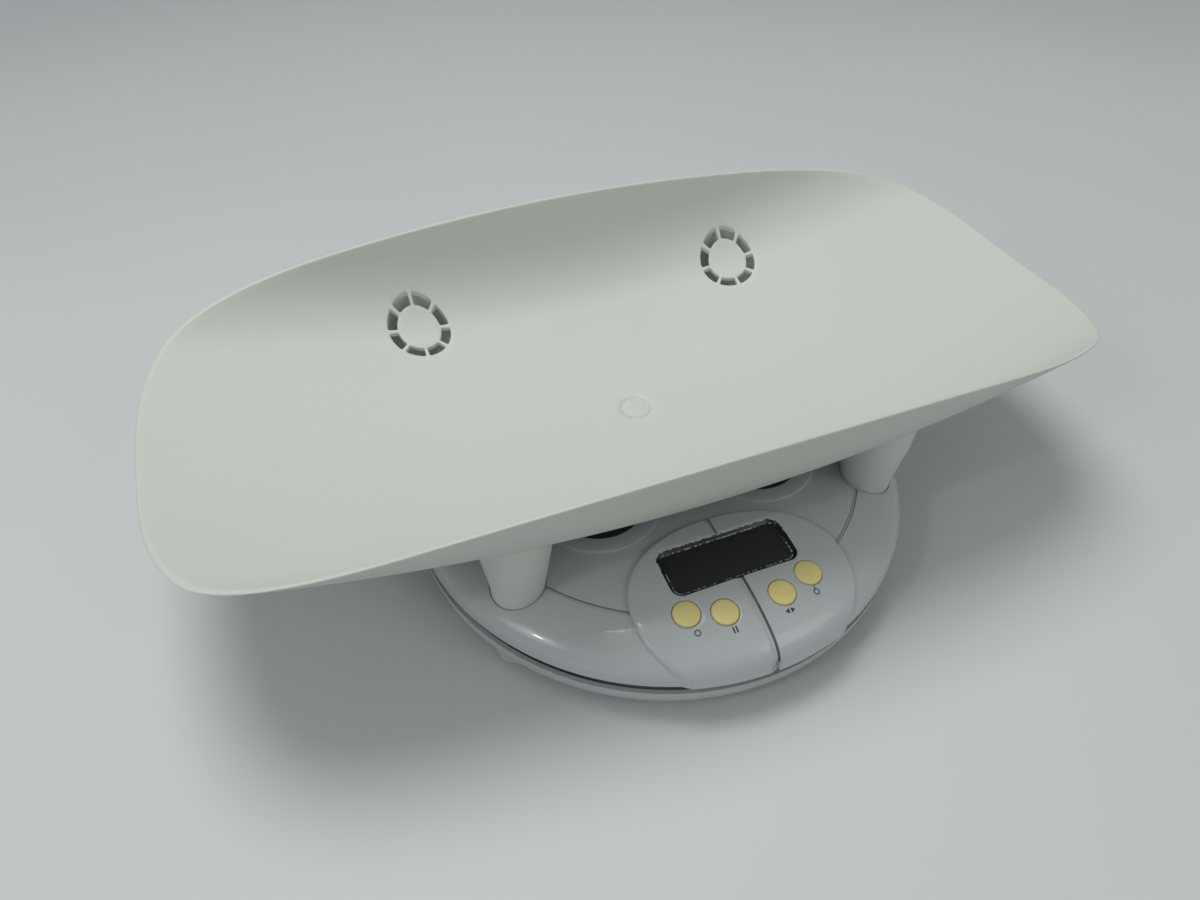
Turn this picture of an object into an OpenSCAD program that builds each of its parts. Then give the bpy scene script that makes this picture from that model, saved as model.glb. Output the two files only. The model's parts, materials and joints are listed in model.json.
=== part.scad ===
// Digital baby weighing scale: a curved tray on four legs, plugged into a low weighing base.
// Frame: X along the tray, +Y to the back, +Z up, origin under the middle of the object's box.
// Pieces are drawn about the weighing centre and moved back by half of the fascia's overhang.

/* [Tray] */
// Height of the tray's inner floor at its middle, above the table
tray_floor_z = 59; // [58:0.5:66]
// Wall thickness of the tray
tray_wall = 2.4; // [2.2:0.2:3.2]
// Half of the tray's length at the level where its side-view arch closes
tray_half_length = 293.5; // [270:1:310]
// Height of the rim at the middle of the long sides
tray_rim_z = 143; // [136:1:150]
// How far the side-view arch of the rim falls to its ends
tray_end_drop = 38; // [30:1:44]
// Roundness of the side-view arch of the rim
tray_arch_power = 1.87; // [1.6:0.01:2.4]
// Radius of the tray's floor along its length
tray_long_radius = 900; // [860:10:1000]
// Radius of the tray's floor across its width
tray_floor_radius = 273; // [250:1:290]
// Angle at which the cross-section's floor meets the bend
tray_floor_angle = 19.5; // [18.5:0.5:20.5]
// Radius of the bend between the floor and the side walls
tray_bend_radius = 62; // [54:1:64]
// Steepness of the side walls
tray_side_angle = 76; // [70:1:80]
// Radius of the small round plate in the middle of the floor
centre_plate_r = 9.7; // [7:0.1:12]

/* [Tray legs] */
// Distance of the legs in front of and behind the weighing centre
leg_y = 99.5; // [96:0.5:101]
// Distance of the front legs to each side
front_leg_x = 115; // [112:0.5:117]
// Distance of the rear legs to each side
rear_leg_x = 118; // [115:0.5:119]
// Radius of the leg pegs that plug into the platform
peg_r = 15.8; // [14:0.1:16.5]
// Radial gap between a peg and its socket
socket_gap = 0.4; // [0.3:0.05:0.6]
// Wall of the hollow legs
leg_wall = 2.5; // [2:0.1:3]
// Radius of the front legs below the tray
front_leg_flare_r = 20.5; // [18.5:0.1:21]
// Radius of the rear legs below the tray
rear_leg_flare_r = 23.8; // [23.4:0.1:25]
// Outer radius of the ring of slots over a rear leg
slot_outer_r = 20.7; // [19:0.1:21]
// Inner radius of the ring of slots over a rear leg
slot_inner_r = 14.3; // [12:0.1:15.5]
// Number of slots in each ring
slot_count = 8; // [6:1:10]
// Width of the ribs between the slots
slot_rib = 2.2; // [1.6:0.1:3]
// Thickness of the round plate in the middle of the floor
centre_plate_t = 1.2; // [1:0.1:1.6]

/* [Base] */
// Radius of the platform's round ends
base_r = 157.5; // [155.5:0.5:160]
// Half of the distance between the centres of the platform's round ends
base_spine = 33.9; // [32:0.1:36]
// Height of the top of the platform's dome
dome_top_z = 53; // [52.5:0.1:54]
// Height of the platform's lower edge
dome_edge_z = 28; // [26:0.5:29]
// Wall thickness of the platform and bottom shells
shell_wall = 2.6; // [2.2:0.1:3]
// Height of the bottom shell's underside above the table
underside_z = 8; // [7:0.5:9]
// How far the bottom shell's rim stays inside the platform's
rim_step = 0.5; // [0.3:0.1:1.5]
// Gap between the bottom shell's rim and the platform's lower edge
rim_gap = 8.5; // [7:0.5:9]
// Radius of the decorative groove round the platform
groove_r = 126.7; // [125:0.1:128]
// Width of the decorative groove
groove_w = 1.6; // [0.8:0.1:2]
// Depth of the decorative groove
groove_depth = 0.9; // [0.6:0.1:1.2]
// Height of the top of the standing pads' raised rings
pad_ring_z = 53.4; // [53.2:0.1:54]
// Outer radius of the standing pads' raised rings
pad_ring_r = 38.5; // [34:0.5:40]
// Radius of the rubber standing pads
pad_r = 28.3; // [24:0.1:30]
// Thickness of the rubber standing pads
pad_t = 1.6; // [1:0.1:2]
// Distance of the standing pads to each side
pad_x = 53.2; // [52:0.1:54]
// Distance of the standing pads in front of and behind the weighing centre
pad_y = 63.9; // [62:0.1:65]
// Radius of the rubber feet
foot_r = 10.5; // [9:0.5:12]
// Height of the rubber feet
foot_h = 4.5; // [4:0.1:5]
// Distance of the feet to each side
foot_x = 121; // [112:1:122]
// Distance of the feet in front of and behind the weighing centre
foot_y = 109.5; // [100:0.5:110]

/* [Control panel] */
// Half width of the oval fascia
fascia_half_w = 66; // [64:0.5:68]
// Half depth of the oval fascia
fascia_half_d = 48.5; // [46:0.5:50]
// Squareness of the oval fascia: 2 is an ellipse
fascia_power = 2.2; // [2:0.05:2.5]
// How far the fascia reaches past the platform's front edge
fascia_overhang = 2; // [1.5:0.1:3]
// Distance of the fascia's middle behind the base's front edge
fascia_set_back = 41; // [39:0.5:43]
// Height of the fascia above the platform's dome
fascia_lift = 3.6; // [3.4:0.1:4.2]
// Tilt of the display and buttons towards the front
panel_tilt = 5; // [4:0.5:6]
// Height of the panel's plane at the middle of the fascia
panel_z = 52.4; // [52:0.1:53]
// Width of the display window
window_w = 79.4; // [74:0.2:80]
// Depth of the display window
window_d = 31; // [28:0.5:31.5]
// Corner radius of the display window
window_corner_r = 6.5; // [5:0.5:8]
// Distance of the window's middle behind the fascia's middle
window_v = 20.2; // [19.8:0.1:20.6]
// Width of the display glass
lcd_w = 70; // [64:0.5:71]
// Depth of the display glass
lcd_d = 27; // [24:0.5:27.5]
// How far the window's lens lies below the panel's plane
lens_depth = 1.8; // [1.6:0.1:2]
// Thickness of the lens
lens_t = 1.4; // [1.2:0.1:1.6]
// Radius of the round buttons
button_r = 7.8; // [7:0.1:8]
// Gap round the buttons
button_gap = 0.35; // [0.25:0.05:0.5]
// How far the buttons stand above the panel's plane
button_proud = 1; // [0.8:0.1:1.5]
// Travel of the buttons
button_travel = 0.8; // [0.5:0.1:1]
// Sideways place of the outer buttons
outer_button_u = 38; // [37.5:0.1:38.5]
// Place of the outer buttons behind the fascia's middle
outer_button_v = -5.6; // [-6:0.1:-5.4]
// Sideways place of the inner buttons
inner_button_u = 17.7; // [17:0.1:18.5]
// Place of the inner buttons behind the fascia's middle
inner_button_v = -11.9; // [-12.4:0.1:-11.6]
// Width of the channel down the middle of the fascia
channel_w = 5; // [3:0.5:7]
// Depth of that channel
channel_depth = 1.1; // [0.8:0.1:1.2]

/* [Electronics] */
// Depth of the circuit board's top below the panel's plane
board_depth = 10; // [9.8:0.1:10.4]
// Thickness of the circuit board
board_t = 1.6; // [1:0.2:1.6]
// Half width of the circuit board
board_half_w = 49; // [48.5:0.5:50]
// Front edge of the circuit board from the fascia's middle
board_front_v = -16; // [-16:0.5:-15]
// Rear edge of the circuit board from the fascia's middle
board_rear_v = 38; // [37.5:0.5:39]
// Thickness of the liquid-crystal glass
lcd_t = 2.8; // [2:0.1:3]
// Size of the square push switches
switch_size = 6; // [5:0.5:6.5]
// Height of the push switches' bodies
switch_h = 3.5; // [3:0.1:4]

/* [Weighing mechanism] */
// Length of the load cell
cell_l = 80; // [70:1:90]
// Width and height of the load cell
cell_h = 12.7; // [12:0.1:13]
// Thickness of the spacers above and below the load cell
spacer_t = 1.4; // [1.2:0.1:2]
// Thickness of the steel plates
plate_t = 2; // [1.6:0.1:2.2]
// Height of the heads of the load cell's screws
cell_head_h = 2; // [1.6:0.1:2.2]
// Width of the upper plate's arms
arm_w = 30; // [20:1:34]
// Travel of the platform at the load cell's full load
platform_travel = 0.6; // [0.4:0.1:0.8]

/* [Battery] */
// Length of the block battery
battery_l = 46; // [44:0.5:47]
// Width of the block battery
battery_w = 26; // [25:0.5:26.5]
// Height of the block battery
battery_h = 17; // [16:0.5:17.5]
// Distance of the battery box behind the weighing centre
battery_y = 130; // [126:1:132]
// Thickness of the sliding battery door
door_t = 2; // [1.6:0.1:2.2]
// How far the battery door slides open
door_travel = 40; // [32:1:44]
// Sliding gap round the battery door
door_gap = 0.3; // [0.25:0.05:0.4]

/* [Hidden] */
$fn = 96;

mid_y = fascia_overhang / 2;
far = 400;
slip = 0.1;

// Weighing stack, from the bottom shell's floor to the sockets' floors
floor_z = underside_z + shell_wall;
head_clear = 0.4;
lower_plate_z = floor_z + cell_head_h + head_clear;
lower_spacer_z = lower_plate_z + plate_t;
cell_z = lower_spacer_z + spacer_t;
upper_spacer_z = cell_z + cell_h;
upper_plate_z = upper_spacer_z + spacer_t;
socket_base_z = upper_plate_z + plate_t;
socket_floor_z = socket_base_z + shell_wall;
socket_r = peg_r + socket_gap;
peg_end_z = socket_floor_z;

// Tray cross-section: [distance from the middle, height above the middle of the floor]
floor_steps = 8;
bend_steps = 9;
tray_over = 24;
slot_clear = 0.8;
function floor_point(a, off) =
    [(tray_floor_radius + off) * sin(a), tray_floor_radius - (tray_floor_radius + off) * cos(a)];
function bend_point(a, off) =
    let (join = floor_point(tray_floor_angle, 0))
    [join[0] + tray_bend_radius * (sin(a) - sin(tray_floor_angle)) + off * sin(a),
     join[1] + tray_bend_radius * (cos(tray_floor_angle) - cos(a)) - off * cos(a)];
function side_top(off) =
    let (p = bend_point(tray_side_angle, off),
         rise = tray_rim_z - tray_floor_z + tray_over - p[1])
    [p[0] + rise / tan(tray_side_angle), p[1] + rise];
function half_section(off) = concat(
    [for (i = [1:floor_steps]) floor_point(tray_floor_angle * i / floor_steps, off)],
    [for (i = [1:bend_steps])
        bend_point(tray_floor_angle + (tray_side_angle - tray_floor_angle) * i / bend_steps, off)],
    [side_top(off)]
);
function mirrored(points) =
    concat([for (i = [len(points) - 1:-1:0]) [-points[i][0], points[i][1]]], points);
middle_z = tray_floor_z + floor_point(tray_floor_angle / floor_steps, 0)[1];

// Side-view arch of the rim
arch_steps = 40;
function rim_height(x) =
    tray_rim_z - tray_end_drop
    * (1 - pow(max(1 - pow(abs(x) / tray_half_length, tray_arch_power), 0), 1 / tray_arch_power));

// Platform dome: height at a distance from the spine line
dome_power = 4;
dome_edge = 3;
dome_flat_r = 44;
dome_steps = 28;
function dome_height(d, r, top, low) =
    low + (top - low) * pow(max(1 - pow(d / r, dome_power), 0), 1 / dome_edge);
function dome_profile(r, top, low) = concat(
    [[0, top], [dome_flat_r, top]],
    [for (i = [1:dome_steps])
        let (d = r * sin(90 * i / dome_steps))
        if (d > dome_flat_r + 2) [d, dome_height(d, r, top, low)]]
);
function grooved_profile(r, top, low) =
    let (inner_d = groove_r - groove_w / 2,
         outer_d = groove_r + groove_w / 2,
         inner_z = dome_height(inner_d, r, top, low),
         outer_z = dome_height(outer_d, r, top, low),
         plain = dome_profile(r, top, low))
    concat(
        [for (p = plain) if (p[0] < inner_d - 0.2) p],
        [[inner_d, inner_z], [inner_d, inner_z - groove_depth],
         [outer_d, outer_z - groove_depth], [outer_d, outer_z]],
        [for (p = plain) if (p[0] > outer_d + 0.2) p]
    );

// Bottom shell
rim_r = base_r - rim_step;
rim_top_z = dome_edge_z - rim_gap;
upstand_r = rim_r - 6.6;
upstand_z = dome_edge_z + 1.8;
foot_boss_r = foot_r + 2.5;
foot_recess = 1;

// Fascia
panel_y = -(base_spine + base_r - fascia_set_back);
fascia_r = base_r + fascia_overhang;
fascia_steps = 72;
fascia_seat = 0.15;
seat_w = -2.6;
flange_r = button_r + 0.8;
flange_t = 1;
flange_gap = 0.4;
shell_hole_r = flange_r + 0.9;
lens_margin = 1;
lens_gap = 0.2;
lens_room = 0.6;
press_clear = 0.2;
plunger_r = 1.7;
plunger_bore = switch_h - 0.9;
switch_top_w = -board_depth + switch_h;
plunger_top_w = switch_top_w + button_travel + press_clear;
plunger_l = plunger_top_w - switch_top_w + plunger_bore - button_travel - press_clear;
flange_top_w = seat_w - 0.2;
outer_buttons = [[-outer_button_u, outer_button_v], [outer_button_u, outer_button_v]];
inner_buttons = [[-inner_button_u, inner_button_v], [inner_button_u, inner_button_v]];
button_places = concat(outer_buttons, inner_buttons);

// Fasteners: [sideways, behind the fascia's middle]
screw_r = 1.3;
screw_hole_r = screw_r + slip;
screw_head_r = 2.6;
screw_head_h = 1.6;
board_post_r = 3;
board_posts = [[0, board_front_v + 3.5], [-board_half_w + 3.8, 27], [board_half_w - 3.8, 27]];
fascia_screw_places = [[-54, 8], [54, 8]];
fascia_screw_w = -8.2;
fascia_boss_r = 4;

// Load cell holes along X
cell_screw_x = [cell_l / 2 - 6, cell_l / 2 - 18];
cell_screw_r = 1.9;
cell_hole_r = cell_screw_r + slip;
cell_screw_l = 9;
cell_head_r = 3.6;
cell_hole_l = 8;
flexure_x = 8;
flexure_r = 4.7;
gauge_x = 14;
lower_plate_l = 104;
lower_plate_w = 50;
lower_screw_x = lower_plate_l / 2 - 6;
lower_screw_y = lower_plate_w / 2 - 6;
lower_boss_r = 5;
lower_screw_l = plate_t + 3.4;
stop_place = 0.68;
stop_clear = 0.4;
stop_head_h = 2;
stop_screw_l = 9;
stop_screw_r = 1.8;
stop_post_r = 5;
socket_post_r = 4;
socket_post_h = 6;
arm_end_r = 12;

// Battery box
box_wall = 2;
snap_room = 12;
battery_end_gap = 4;
box_l = battery_l + snap_room + battery_end_gap;
box_w = battery_w + 4;
box_top_z = floor_z + battery_h + 3;
door_l = box_w + 10;
door_w = box_l + 6;
door_z = underside_z - door_t - door_gap;
door_y0 = battery_y - door_l / 2;
rail_t = 1.4;
rail_w = 2;
rail_grip = 3;
door_hold = 27;
rail_end_y = door_y0 + door_travel + door_hold;
door_rib_l = 24;
lead_slot_x = -box_l / 2 + 1.5;

color_tray = [0.75, 0.77, 0.74];
color_shell = [0.72, 0.76, 0.77];
color_button = [0.83, 0.77, 0.50];

leg_places = [
    [-front_leg_x, -leg_y], [front_leg_x, -leg_y], [-rear_leg_x, leg_y], [rear_leg_x, leg_y]
];

// ---- shared shapes ----

module placed() {
    translate([0, mid_y, 0]) children();
}

module on_panel() {
    placed() translate([0, panel_y, panel_z]) rotate([panel_tilt, 0, 0]) children();
}

// A profile of [distance, height] points turned round both ends of the spine and run between them
module stadium_solid(points) {
    translate([0, -base_spine, 0]) rotate([0, 0, 180]) rotate_extrude(angle = 180) polygon(points);
    translate([0, base_spine, 0]) rotate_extrude(angle = 180) polygon(points);
    translate([0, base_spine, 0]) rotate([90, 0, 0]) linear_extrude(2 * base_spine) {
        polygon(points);
        mirror([1, 0]) polygon(points);
    }
}

module dome_block(profile, low) {
    stadium_solid(concat([[0, low]], profile, [[profile[len(profile) - 1][0], low]]));
}

// The space inside one face of the trough, from its floor up
module trough_solid(off) {
    section = mirrored(half_section(off));
    radius = tray_long_radius;
    sweep = 25;
    translate([0, 0, tray_floor_z + radius]) rotate([-90, 0, 0])
        rotate([0, 0, 90 - sweep]) rotate_extrude(angle = 2 * sweep)
            polygon([for (p = section) [radius - p[1], p[0]]]);
}

module under_rim_arch() {
    points = [for (i = [0:2 * arch_steps])
        let (x = -tray_half_length * cos(180 * i / (2 * arch_steps))) [x, rim_height(x)]];
    translate([0, far / 2, 0]) rotate([90, 0, 0]) linear_extrude(far)
        polygon(concat([[-tray_half_length, 0]], points, [[tray_half_length, 0]]));
}

module round_rect(w, d, r) {
    for (sx = [-1, 1], sy = [-1, 1])
        translate([sx * (w / 2 - r), sy * (d / 2 - r)]) circle(r);
    square([w - 2 * r, d], center = true);
    square([w, d - 2 * r], center = true);
}

module superellipse(a, b, power) {
    polygon([for (i = [0:fascia_steps - 1])
        let (t = 360 * i / fascia_steps, c = cos(t), s = sin(t))
        [a * sign(c) * pow(abs(c), 2 / power), b * sign(s) * pow(abs(s), 2 / power)]]);
}

// A cap-head screw pointing up from its head's seat
module screw_up(length, r = screw_r, head_r = screw_head_r, head_h = screw_head_h) {
    cylinder(h = length, r = r);
    translate([0, 0, -head_h]) difference() {
        cylinder(h = head_h, r = head_r);
        translate([0, 0, -slip]) cylinder(h = head_h / 2 + slip, r = head_r / 2, $fn = 6);
    }
}

// A round tube swept along a list of points
function unit(v) = v / norm(v);
function ring_points(path, i, r, sides) =
    let (n = len(path),
         along = unit(path[min(i + 1, n - 1)] - path[max(i - 1, 0)]),
         side = unit(cross(along, abs(along[0]) < 0.9 ? [1, 0, 0] : [0, 1, 0])),
         up = cross(side, along))
    [for (k = [0:sides - 1])
        path[i] + r * (cos(360 * k / sides) * side + sin(360 * k / sides) * up)];
module tube(path, r, sides = 8) {
    n = len(path);
    points = [for (i = [0:n - 1]) each ring_points(path, i, r, sides)];
    walls = [for (i = [0:n - 2], k = [0:sides - 1]) each [
        [i * sides + k, (i + 1) * sides + k, (i + 1) * sides + (k + 1) % sides],
        [i * sides + k, (i + 1) * sides + (k + 1) % sides, i * sides + (k + 1) % sides]
    ]];
    polyhedron(points = points, faces = concat(
        [[for (k = [0:sides - 1]) k]],
        walls,
        [[for (k = [sides - 1:-1:0]) (n - 1) * sides + k]]
    ));
}

// ---- tray ----

leg_top_z = tray_rim_z - 22;
peg_top_z = dome_top_z - 3;
front_flare_z = tray_floor_z + 24;
rear_flare_z = tray_floor_z + 13.5;

module leg_solid(flare_r, flare_z, inset) {
    low = inset > 0 ? peg_end_z - 1 : peg_end_z;
    rotate_extrude() polygon([
        [0, low],
        [peg_r - inset, low],
        [peg_r - inset, peg_top_z],
        [flare_r - inset, flare_z],
        [flare_r - inset + 1.2, leg_top_z],
        [0, leg_top_z]
    ]);
}

module legs(inset) {
    for (side = [-1, 1]) {
        translate([side * front_leg_x, -leg_y, 0])
            leg_solid(front_leg_flare_r, front_flare_z, inset);
        translate([side * rear_leg_x, leg_y, 0])
            leg_solid(rear_leg_flare_r, rear_flare_z, inset);
    }
}

module slot_ring() {
    rib_angle = 2 * asin(slot_rib / (slot_inner_r + slot_outer_r));
    for (i = [0:slot_count - 1])
        rotate([0, 0, 360 * i / slot_count + rib_angle / 2])
            rotate_extrude(angle = 360 / slot_count - rib_angle)
                translate([slot_inner_r, 0]) square([slot_outer_r - slot_inner_r, leg_top_z]);
}

module tray_with_hollow_legs() {
    difference() {
        union() {
            intersection() {
                trough_solid(tray_wall);
                under_rim_arch();
            }
            legs(0);
        }
        trough_solid(0);
        difference() {
            legs(leg_wall);
            trough_solid(tray_wall);
        }
    }
}

module tray_with_recess() {
    difference() {
        tray_with_hollow_legs();
        translate([0, 0, middle_z - centre_plate_t])
            cylinder(h = 10, r = centre_plate_r + slip);
    }
}

module tray_shell() {
    color(color_tray) placed() difference() {
        tray_with_recess();
        for (side = [-1, 1])
            translate([side * rear_leg_x, leg_y, rear_flare_z + slot_clear]) slot_ring();
    }
}

module tray_centre_plate() {
    color(color_tray) placed() translate([0, 0, middle_z - centre_plate_t])
        rotate_extrude() polygon([
            [0, 0],
            [centre_plate_r, 0],
            [centre_plate_r, centre_plate_t - 0.3],
            [centre_plate_r - 0.5, centre_plate_t + 0.1],
            [0, centre_plate_t + 0.1]
        ]);
}

// ---- platform ----

module platform_bores() {
    for (p = leg_places)
        translate([p[0], p[1], socket_floor_z]) cylinder(h = far, r = socket_r);
}

// One long opening under each pair of buttons
module button_pair_slots() {
    reach = [outer_button_u - inner_button_u, outer_button_v - inner_button_v];
    for (side = [0, 1]) mirror([side, 0, 0])
        translate([inner_button_u, inner_button_v, -20]) rotate([0, 0, atan2(reach[1], reach[0])]) {
            cylinder(h = 40, r = shell_hole_r);
            translate([norm(reach), 0, 0]) cylinder(h = 40, r = shell_hole_r);
            translate([0, -shell_hole_r, 0]) cube([norm(reach), 2 * shell_hole_r, 40]);
        }
}

module platform_shell() {
    color(color_shell) difference() {
        union() {
            placed() difference() {
                union() {
                    difference() {
                        dome_block(grooved_profile(base_r, dome_top_z, dome_edge_z), dome_edge_z);
                        dome_block(dome_profile(base_r - shell_wall, dome_top_z - shell_wall,
                            dome_edge_z), dome_edge_z - 1);
                    }
                    for (sx = [-1, 1], sy = [-1, 1])
                        translate([sx * pad_x, sy * pad_y, pad_ring_z - pad_t - shell_wall - 0.6])
                            cylinder(h = pad_t + shell_wall + 0.6, r = pad_ring_r);
                    intersection() {
                        dome_block(dome_profile(base_r - 1, dome_top_z - 1, dome_edge_z),
                            dome_edge_z);
                        for (p = leg_places)
                            translate([p[0], p[1], socket_base_z])
                                cylinder(h = far, r = socket_r + shell_wall);
                    }
                }
                for (sx = [-1, 1], sy = [-1, 1])
                    translate([sx * pad_x, sy * pad_y, pad_ring_z - pad_t])
                        cylinder(h = far, r = pad_r + socket_gap);
                platform_bores();
            }
            placed() for (p = leg_places)
                translate([p[0], p[1], socket_base_z])
                    cylinder(h = shell_wall + socket_post_h, r = socket_post_r);
            placed() intersection() {
                dome_block(dome_profile(base_r - 1, dome_top_z - 1, dome_edge_z), dome_edge_z);
                translate([0, panel_y, panel_z]) rotate([panel_tilt, 0, 0]) {
                    for (p = board_posts)
                        translate([p[0], p[1], -board_depth]) cylinder(h = 20, r = board_post_r);
                    for (p = fascia_screw_places)
                        translate([p[0], p[1], fascia_screw_w]) cylinder(h = 20, r = fascia_boss_r);
                }
            }
        }
        placed() for (p = leg_places)
            translate([p[0], p[1], socket_base_z - 1])
                cylinder(h = shell_wall + socket_post_h - 1, r = screw_hole_r);
        on_panel() translate([0, window_v, -20]) linear_extrude(40)
            lens_plan(lens_room);
        on_panel() button_pair_slots();
        on_panel() for (p = board_posts)
            translate([p[0], p[1], -board_depth - 1]) cylinder(h = 5, r = screw_hole_r);
        on_panel() for (p = fascia_screw_places)
            translate([p[0], p[1], -20]) cylinder(h = 40, r = screw_hole_r);
    }
}

module standing_pad(sx, sy) {
    color([0.08, 0.08, 0.09]) placed()
        translate([sx * pad_x, sy * pad_y, pad_ring_z - pad_t]) rotate_extrude() polygon([
            [0, 0],
            [pad_r, 0],
            [pad_r, pad_t - 1],
            [pad_r - 0.6, pad_t - 0.5],
            [0, pad_t - 0.5]
        ]);
}

// ---- control panel ----

module fascia_plan(inset) {
    translate([0, panel_y, 0]) linear_extrude(far)
        superellipse(fascia_half_w - inset, fascia_half_d - inset, fascia_power);
}

module fascia_dome(r, top, low) {
    profile = dome_profile(r, top, dome_edge_z);
    translate([0, -base_spine, 0]) rotate([0, 0, 180]) rotate_extrude(angle = 180)
        polygon(concat([[0, low]], profile, [[r, low]]));
}

module control_fascia() {
    top = dome_top_z + fascia_lift;
    color(color_shell) difference() {
        placed() difference() {
            intersection() {
                fascia_dome(fascia_r, top, dome_edge_z);
                fascia_plan(0);
            }
            fascia_dome(base_r + fascia_seat, dome_top_z + fascia_seat, dome_edge_z - 1);
            intersection() {
                difference() {
                    fascia_dome(fascia_r + 1, top + 1, dome_edge_z - 1);
                    fascia_dome(fascia_r - channel_depth, top - channel_depth, dome_edge_z - 2);
                }
                translate([-channel_w / 2, -far, 0]) cube([channel_w, far, far]);
            }
        }
        on_panel() translate([0, window_v, -lens_depth - slip]) linear_extrude(far)
            round_rect(window_w, window_d, window_corner_r);
        on_panel() translate([0, window_v, -lens_depth - far]) linear_extrude(far)
            round_rect(window_w + 2 * lens_margin, window_d + 2 * lens_margin,
                window_corner_r + lens_margin);
        on_panel() for (p = button_places) {
            translate([p[0], p[1], -20]) cylinder(h = 40, r = button_r + button_gap);
            translate([p[0], p[1], seat_w - 20]) cylinder(h = 20, r = flange_r + flange_gap);
        }
        on_panel() for (p = fascia_screw_places)
            translate([p[0], p[1], -20]) cylinder(h = 20 - 1.8, r = screw_hole_r);
    }
}

module fascia_screws() {
    color("silver") on_panel() for (p = fascia_screw_places)
        translate([p[0], p[1], fascia_screw_w]) screw_up(6);
}
module lens_plan(room) {
    grow = lens_margin - lens_gap + room;
    round_rect(window_w + 2 * grow, window_d + 2 * grow, window_corner_r + grow);
}

module display_lens() {
    color([0.05, 0.05, 0.06, 0.6]) on_panel()
        translate([0, window_v, -lens_depth - lens_t]) linear_extrude(lens_t)
            lens_plan(0);
}

frame_top_w = -lens_depth - lens_t;
lcd_top_w = frame_top_w - 0.8;
lcd_gap = 0.3;
frame_wall = 2.1;
frame_corner_r = 2;
frame_out_w = lcd_w + 2 * (lcd_gap + frame_wall);
frame_out_d = lcd_d + 2 * (lcd_gap + frame_wall);
connector_t = 2.4;
connector_h = board_depth + lcd_top_w - lcd_t;

module display_frame() {
    color([0.2, 0.2, 0.21]) on_panel() translate([0, window_v, -board_depth]) difference() {
        linear_extrude(board_depth + frame_top_w) round_rect(frame_out_w, frame_out_d, frame_corner_r);
        translate([0, 0, -1]) linear_extrude(board_depth + lcd_top_w + 1)
            round_rect(lcd_w + 2 * lcd_gap, lcd_d + 2 * lcd_gap, 0.5);
        translate([0, 0, -1]) linear_extrude(far) round_rect(lcd_w - 5, lcd_d - 5, 1);
    }
}

module display_glass() {
    color([0.35, 0.4, 0.35]) on_panel()
        translate([-lcd_w / 2, window_v - lcd_d / 2, lcd_top_w - lcd_t])
            cube([lcd_w, lcd_d, lcd_t]);
}

module display_connectors() {
    color([0.25, 0.2, 0.25]) on_panel() for (side = [-1, 1])
        translate([-lcd_w / 2 + 2, window_v + side * (lcd_d / 2 - connector_t / 2 - 0.4)
            - connector_t / 2, -board_depth])
            cube([lcd_w - 4, connector_t, connector_h]);
}

module display_board() {
    depth = board_rear_v - board_front_v;
    color([0.1, 0.35, 0.2]) on_panel() difference() {
        translate([0, (board_rear_v + board_front_v) / 2, -board_depth - board_t])
            linear_extrude(board_t) round_rect(2 * board_half_w, depth, 5);
        for (p = board_posts)
            translate([p[0], p[1], -board_depth - board_t - 1])
                cylinder(h = board_t + 2, r = screw_hole_r + slip);
    }
}

module board_chip() {
    color([0.06, 0.06, 0.06]) on_panel()
        translate([-7, window_v - 7, -board_depth - board_t - 2.4]) {
            cube([14, 14, 2.4]);
            for (side = [-1, 1], i = [0:7])
                translate([side > 0 ? 14 : -1.4, 1.1 + 1.6 * i, 1.8]) cube([1.4, 0.6, 0.6]);
        }
}

module board_screws() {
    color("silver") on_panel() for (p = board_posts)
        translate([p[0], p[1], -board_depth - board_t]) screw_up(5);
}

module push_switches() {
    color([0.15, 0.15, 0.16]) on_panel() for (p = button_places)
        translate([p[0], p[1], -board_depth]) difference() {
            translate([-switch_size / 2, -switch_size / 2, 0])
                cube([switch_size, switch_size, switch_h]);
            translate([0, 0, switch_h - plunger_bore]) cylinder(h = far, r = plunger_r + slip);
        }
}

module button(place) {
    color(color_button) on_panel() translate([place[0], place[1], 0]) rotate_extrude() polygon([
        [0, plunger_top_w],
        [3, plunger_top_w],
        [3, flange_top_w - flange_t],
        [flange_r, flange_top_w - flange_t],
        [flange_r, flange_top_w],
        [button_r, flange_top_w],
        [button_r, button_proud - 0.9],
        [button_r - 0.3, button_proud - 0.4],
        [button_r - 1.1, button_proud - 0.15],
        [button_r - 4, button_proud],
        [0, button_proud + 0.05]
    ]);
}

module plunger(place) {
    color([0.3, 0.3, 0.3]) on_panel()
        translate([place[0], place[1], plunger_top_w - plunger_l])
            cylinder(h = plunger_l, r = plunger_r);
}

// ---- weighing mechanism ----

module arm_outline() {
    for (p = leg_places) {
        length = norm(p);
        rotate([0, 0, atan2(p[1], p[0])]) translate([0, -arm_w / 2]) square([length, arm_w]);
        translate(p) circle(arm_end_r);
    }
    square([cell_l + arm_w, 2 * arm_w], center = true);
}

module upper_plate() {
    color([0.6, 0.62, 0.64]) placed() difference() {
        translate([0, 0, upper_plate_z]) linear_extrude(plate_t) intersection() {
            arm_outline();
            union() {
                for (p = leg_places)
                    translate(p) circle(arm_end_r);
                square([2 * front_leg_x, 2 * leg_y], center = true);
            }
        }
        for (p = leg_places)
            translate([p[0], p[1], upper_plate_z - 1])
                cylinder(h = plate_t + 2, r = screw_hole_r + slip);
        for (x = cell_screw_x)
            translate([x, 0, upper_plate_z - 1]) cylinder(h = plate_t + 2, r = cell_hole_r + slip);
    }
}

module socket_screws() {
    color("silver") placed() for (p = leg_places)
        translate([p[0], p[1], upper_plate_z]) screw_up(plate_t + shell_wall + socket_post_h - 2.2);
}

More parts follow.
